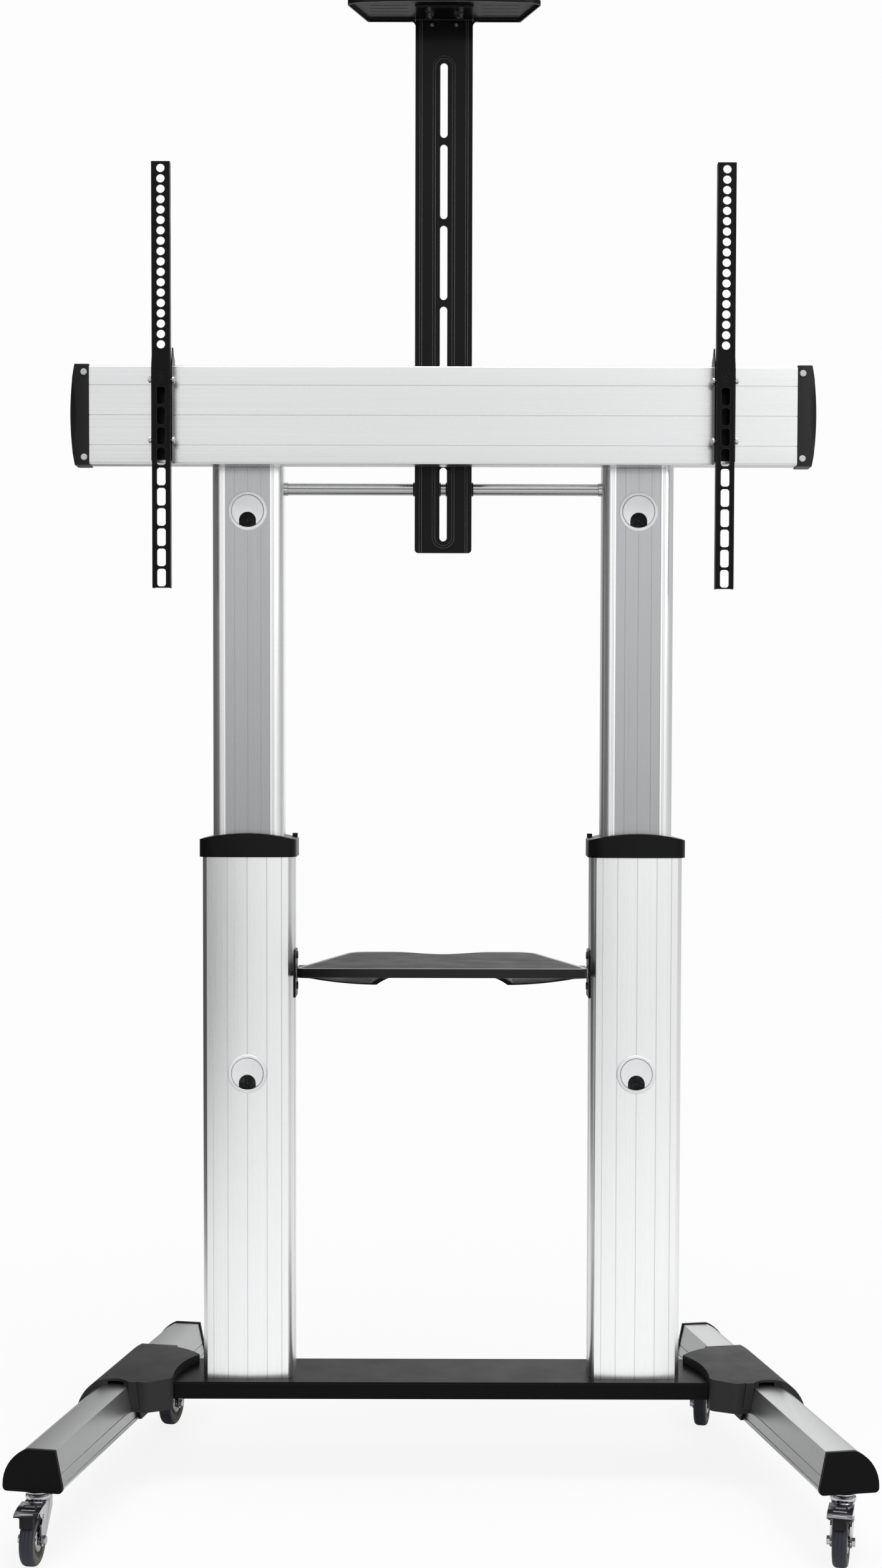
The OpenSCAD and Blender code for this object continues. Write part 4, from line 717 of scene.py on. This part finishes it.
def end_section(t, low, high, side):
    """A rail end cap's outline seen from above, at the level t: -1 at the bottom, 1 at the top."""
    inner = side * (high.x / MM - END_LENGTH)
    corner = high.x / MM - END_BOW
    bow = corner + (END_BOW + END_SWELL) * (1 - t * t)
    lens = max(0.0, 1 - (t / LENS_HALF) ** 2)
    face = bow - LENS_IN * lens
    front, back = low.y / MM, high.y / MM
    scoop = bow - face
    points = [(face - 1.5, front), (face, front + 0.6), (face + 0.15 * scoop, front + 0.8 + 2.5 * lens),
              (face + 0.6 * scoop, front + 1.2 + (LENS_DEPTH - 1.0) * lens),
              (bow, front + 2.2 + LENS_DEPTH * lens), (bow, back - 1.2), (bow - 1.2, back)]
    outline = [(side * x, y) for x, y in points]
    return [(inner, front)] + outline + [(inner, back)]


def end_caps():
    """Bowed rail ends whose front faces are scooped away in a lens shape."""
    low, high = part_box("rail_end_caps")
    middle, half = (low.z + high.z) / 2, (high.z - low.z) / 2
    bm = bmesh.new()
    for side in (-1, 1):
        rings = []
        for i in range(END_STEPS + 1):
            t = -1 + 2 * i / END_STEPS
            rings.append([bm.verts.new((x * MM, y * MM, middle + t * half))
                          for x, y in end_section(t, low, high, side)])
        for here, there in zip(rings, rings[1:]):
            for j in range(len(here)):
                k = (j + 1) % len(here)
                bm.faces.new((here[j], here[k], there[k], there[j]))
        bm.faces.new(rings[0][::-1])
        bm.faces.new(rings[-1])
    piece = new_piece("rail_end_caps_bowed", closed_mesh("rail_ends", bm), "lift", "cover_grey",
                      MATERIALS["end"])
    soften(piece, 0.8)
    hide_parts("rail_end_caps")


wheels()
pedals()
end_caps()
bristles("lower_grommet_bristles", "lower_grommet_brushes", "base")
bristles("upper_grommet_bristles", "upper_grommet_brushes", "lift")


# ---------------------------------------------------------------- studio and camera

BACKDROP = (0.98, 0.98, 0.98)
ROOM_STRENGTH = 1.3
LIGHT_TARGET = Vector((0, 0, 1.1))
FLOOR_SIZE = 60
# where the floor, seen only in metal, is painted darker: a painted reflection
FLOOR_REFLECTION_DARK_FROM = -1.1
FLOOR_REFLECTION_DARK_TO = -2.4
FLOOR_FADE_FROM = 0.5
FLOOR_FADE_TO = 2.6


def soft_light(name, place, size, power):
    """A rectangular area light of size metres at place, aimed at the middle of the cart."""
    light = bpy.data.lights.new(name, "AREA")
    light.shape = "RECTANGLE"
    light.size, light.size_y = size
    light.energy = power
    lamp = bpy.data.objects.new(name, light)
    lamp.location = place
    lamp.rotation_euler = (LIGHT_TARGET - Vector(place)).to_track_quat("-Z", "Y").to_euler()
    bpy.context.collection.objects.link(lamp)


def surroundings():
    """White to the camera; to the object, a room that is bright in front, dimmer on the left and behind."""
    world = bpy.data.worlds.new("studio")
    bpy.context.scene.world = world
    world.use_nodes = True
    tree = world.node_tree
    tree.nodes.clear()
    place = tree.nodes.new("ShaderNodeTexCoord")
    split = tree.nodes.new("ShaderNodeSeparateXYZ")
    tree.links.new(place.outputs["Generated"], split.inputs["Vector"])

    def ramp(axis, stops):
        return grey_ramp(tree, split.outputs[axis], stops)

    def times(first, second):
        product = tree.nodes.new("ShaderNodeMath")
        product.operation = "MULTIPLY"
        tree.links.new(first.outputs[0], product.inputs[0])
        tree.links.new(second.outputs[0], product.inputs[1])
        return product

    def between(factor, first, second):
        mix = tree.nodes.new("ShaderNodeMix")
        tree.links.new(factor.outputs[0], mix.inputs["Factor"])
        tree.links.new(first.outputs[0], mix.inputs["A"])
        tree.links.new(second.outputs[0], mix.inputs["B"])
        return mix

    front = ramp("X", [(-1.0, 0.12), (-0.52, 0.16), (-0.36, 0.50), (-0.24, 0.92), (-0.15, 1.12),
                       (0.0, 0.84), (0.12, 1.08), (0.3, 0.98), (0.6, 0.60), (1.0, 0.45)])
    back = ramp("X", [(-1.0, 0.12), (-0.40, 0.14), (-0.16, 0.50), (0.08, 0.95), (0.2, 1.0),
                      (0.4, 0.42), (1.0, 0.45)])
    facing = ramp("Y", [(-0.25, 0.0), (0.25, 1.0)])
    height = ramp("Z", [(-1.0, 0.50), (0.0, 0.88), (1.0, 1.0)])
    level = times(between(facing, front, back), height)
    room = tree.nodes.new("ShaderNodeBackground")
    tree.links.new(level.outputs[0], room.inputs["Color"])
    room.inputs["Strength"].default_value = ROOM_STRENGTH
    white = tree.nodes.new("ShaderNodeBackground")
    rays = tree.nodes.new("ShaderNodeLightPath")
    mix = tree.nodes.new("ShaderNodeMixShader")
    output = tree.nodes.new("ShaderNodeOutputWorld")
    white.inputs["Color"].default_value = (*BACKDROP, 1.0)
    tree.links.new(rays.outputs["Is Camera Ray"], mix.inputs["Fac"])
    tree.links.new(room.outputs[0], mix.inputs[1])
    tree.links.new(white.outputs[0], mix.inputs[2])
    tree.links.new(mix.outputs[0], output.inputs["Surface"])


def floor_material():
    """Pale floor that takes a soft shadow near the object and meets the backdrop without a line.

    Seen in metal only, it is painted darker far to the left: a painted reflection of the dim left side of
    the room.
    """
    s = Shader("studio_floor")
    s.set(rough=0.8, specular=0.1)
    rays = s.node("ShaderNodeLightPath")
    split = s.node("ShaderNodeSeparateXYZ")
    s.join(s.place, "Object", split, "Vector")
    left = s.node("ShaderNodeMapRange", interpolation_type="SMOOTHSTEP")
    left.inputs["From Min"].default_value = FLOOR_REFLECTION_DARK_FROM
    left.inputs["From Max"].default_value = FLOOR_REFLECTION_DARK_TO
    s.join(split, "X", left, "Value")
    # painted reflection: in glossy rays only, the floor far to the left is painted nearly black
    painted_reflection_dark = s.math("MULTIPLY", (left, "Result"), (rays, "Is Glossy Ray"))
    s.join(s.blend(painted_reflection_dark, "Value", (0.92, 0.92, 0.92), (0.05, 0.05, 0.05)), "Result", s.bsdf, "Base Color")
    glow = s.node("ShaderNodeEmission")
    glow.inputs["Color"].default_value = (*BACKDROP, 1.0)
    reach = s.node("ShaderNodeVectorMath", operation="LENGTH")
    s.join(s.place, "Object", reach, "Vector")
    fade = s.node("ShaderNodeMapRange", interpolation_type="SMOOTHSTEP")
    fade.inputs["From Min"].default_value = FLOOR_FADE_FROM
    fade.inputs["From Max"].default_value = FLOOR_FADE_TO
    fade.inputs["To Min"].default_value = 0.88
    s.join(reach, "Value", fade, "Value")
    seen = s.math("MULTIPLY", (fade, "Result"), (rays, "Is Camera Ray"))
    mix = s.node("ShaderNodeMixShader")
    s.join(seen, "Value", mix, "Fac")
    s.tree.links.new(s.bsdf.outputs[0], mix.inputs[1])
    s.tree.links.new(glow.outputs[0], mix.inputs[2])
    s.join(mix, "Shader", s.output, "Surface")
    return s.material


def studio():
    """The room, two soft lights and the floor."""
    surroundings()
    soft_light("overhead", place=(0.0, -0.8, 3.8), size=(3.2, 1.2), power=60)
    soft_light("key", place=(2.6, -3.6, 3.0), size=(1.6, 2.0), power=26)
    bpy.ops.mesh.primitive_plane_add(size=FLOOR_SIZE)
    floor = bpy.context.object
    floor.name = "studio_floor"
    paint(floor, floor_material())
    bpy.context.scene.view_settings.view_transform = "Standard"


def camera():
    """A long lens well in front of the cart, tipped slightly down and shifted up."""
    lens = 50.115
    distance = 3.545
    height = 1.185
    pitch = math.radians(2.4)
    roll = math.radians(0.13)
    data = bpy.data.cameras.new("camera")
    data.sensor_fit = "AUTO"
    data.sensor_width = 36.0
    data.lens = lens
    data.shift_x = -0.0010
    data.shift_y = 0.0358
    data.clip_end = FLOOR_SIZE
    obj = bpy.data.objects.new("camera", data)
    obj.location = (0.0, COLUMN_Y - distance, height)
    obj.rotation_euler = (math.radians(90) - pitch, -roll, 0.0)
    bpy.context.collection.objects.link(obj)
    bpy.context.scene.camera = obj


studio()
camera()
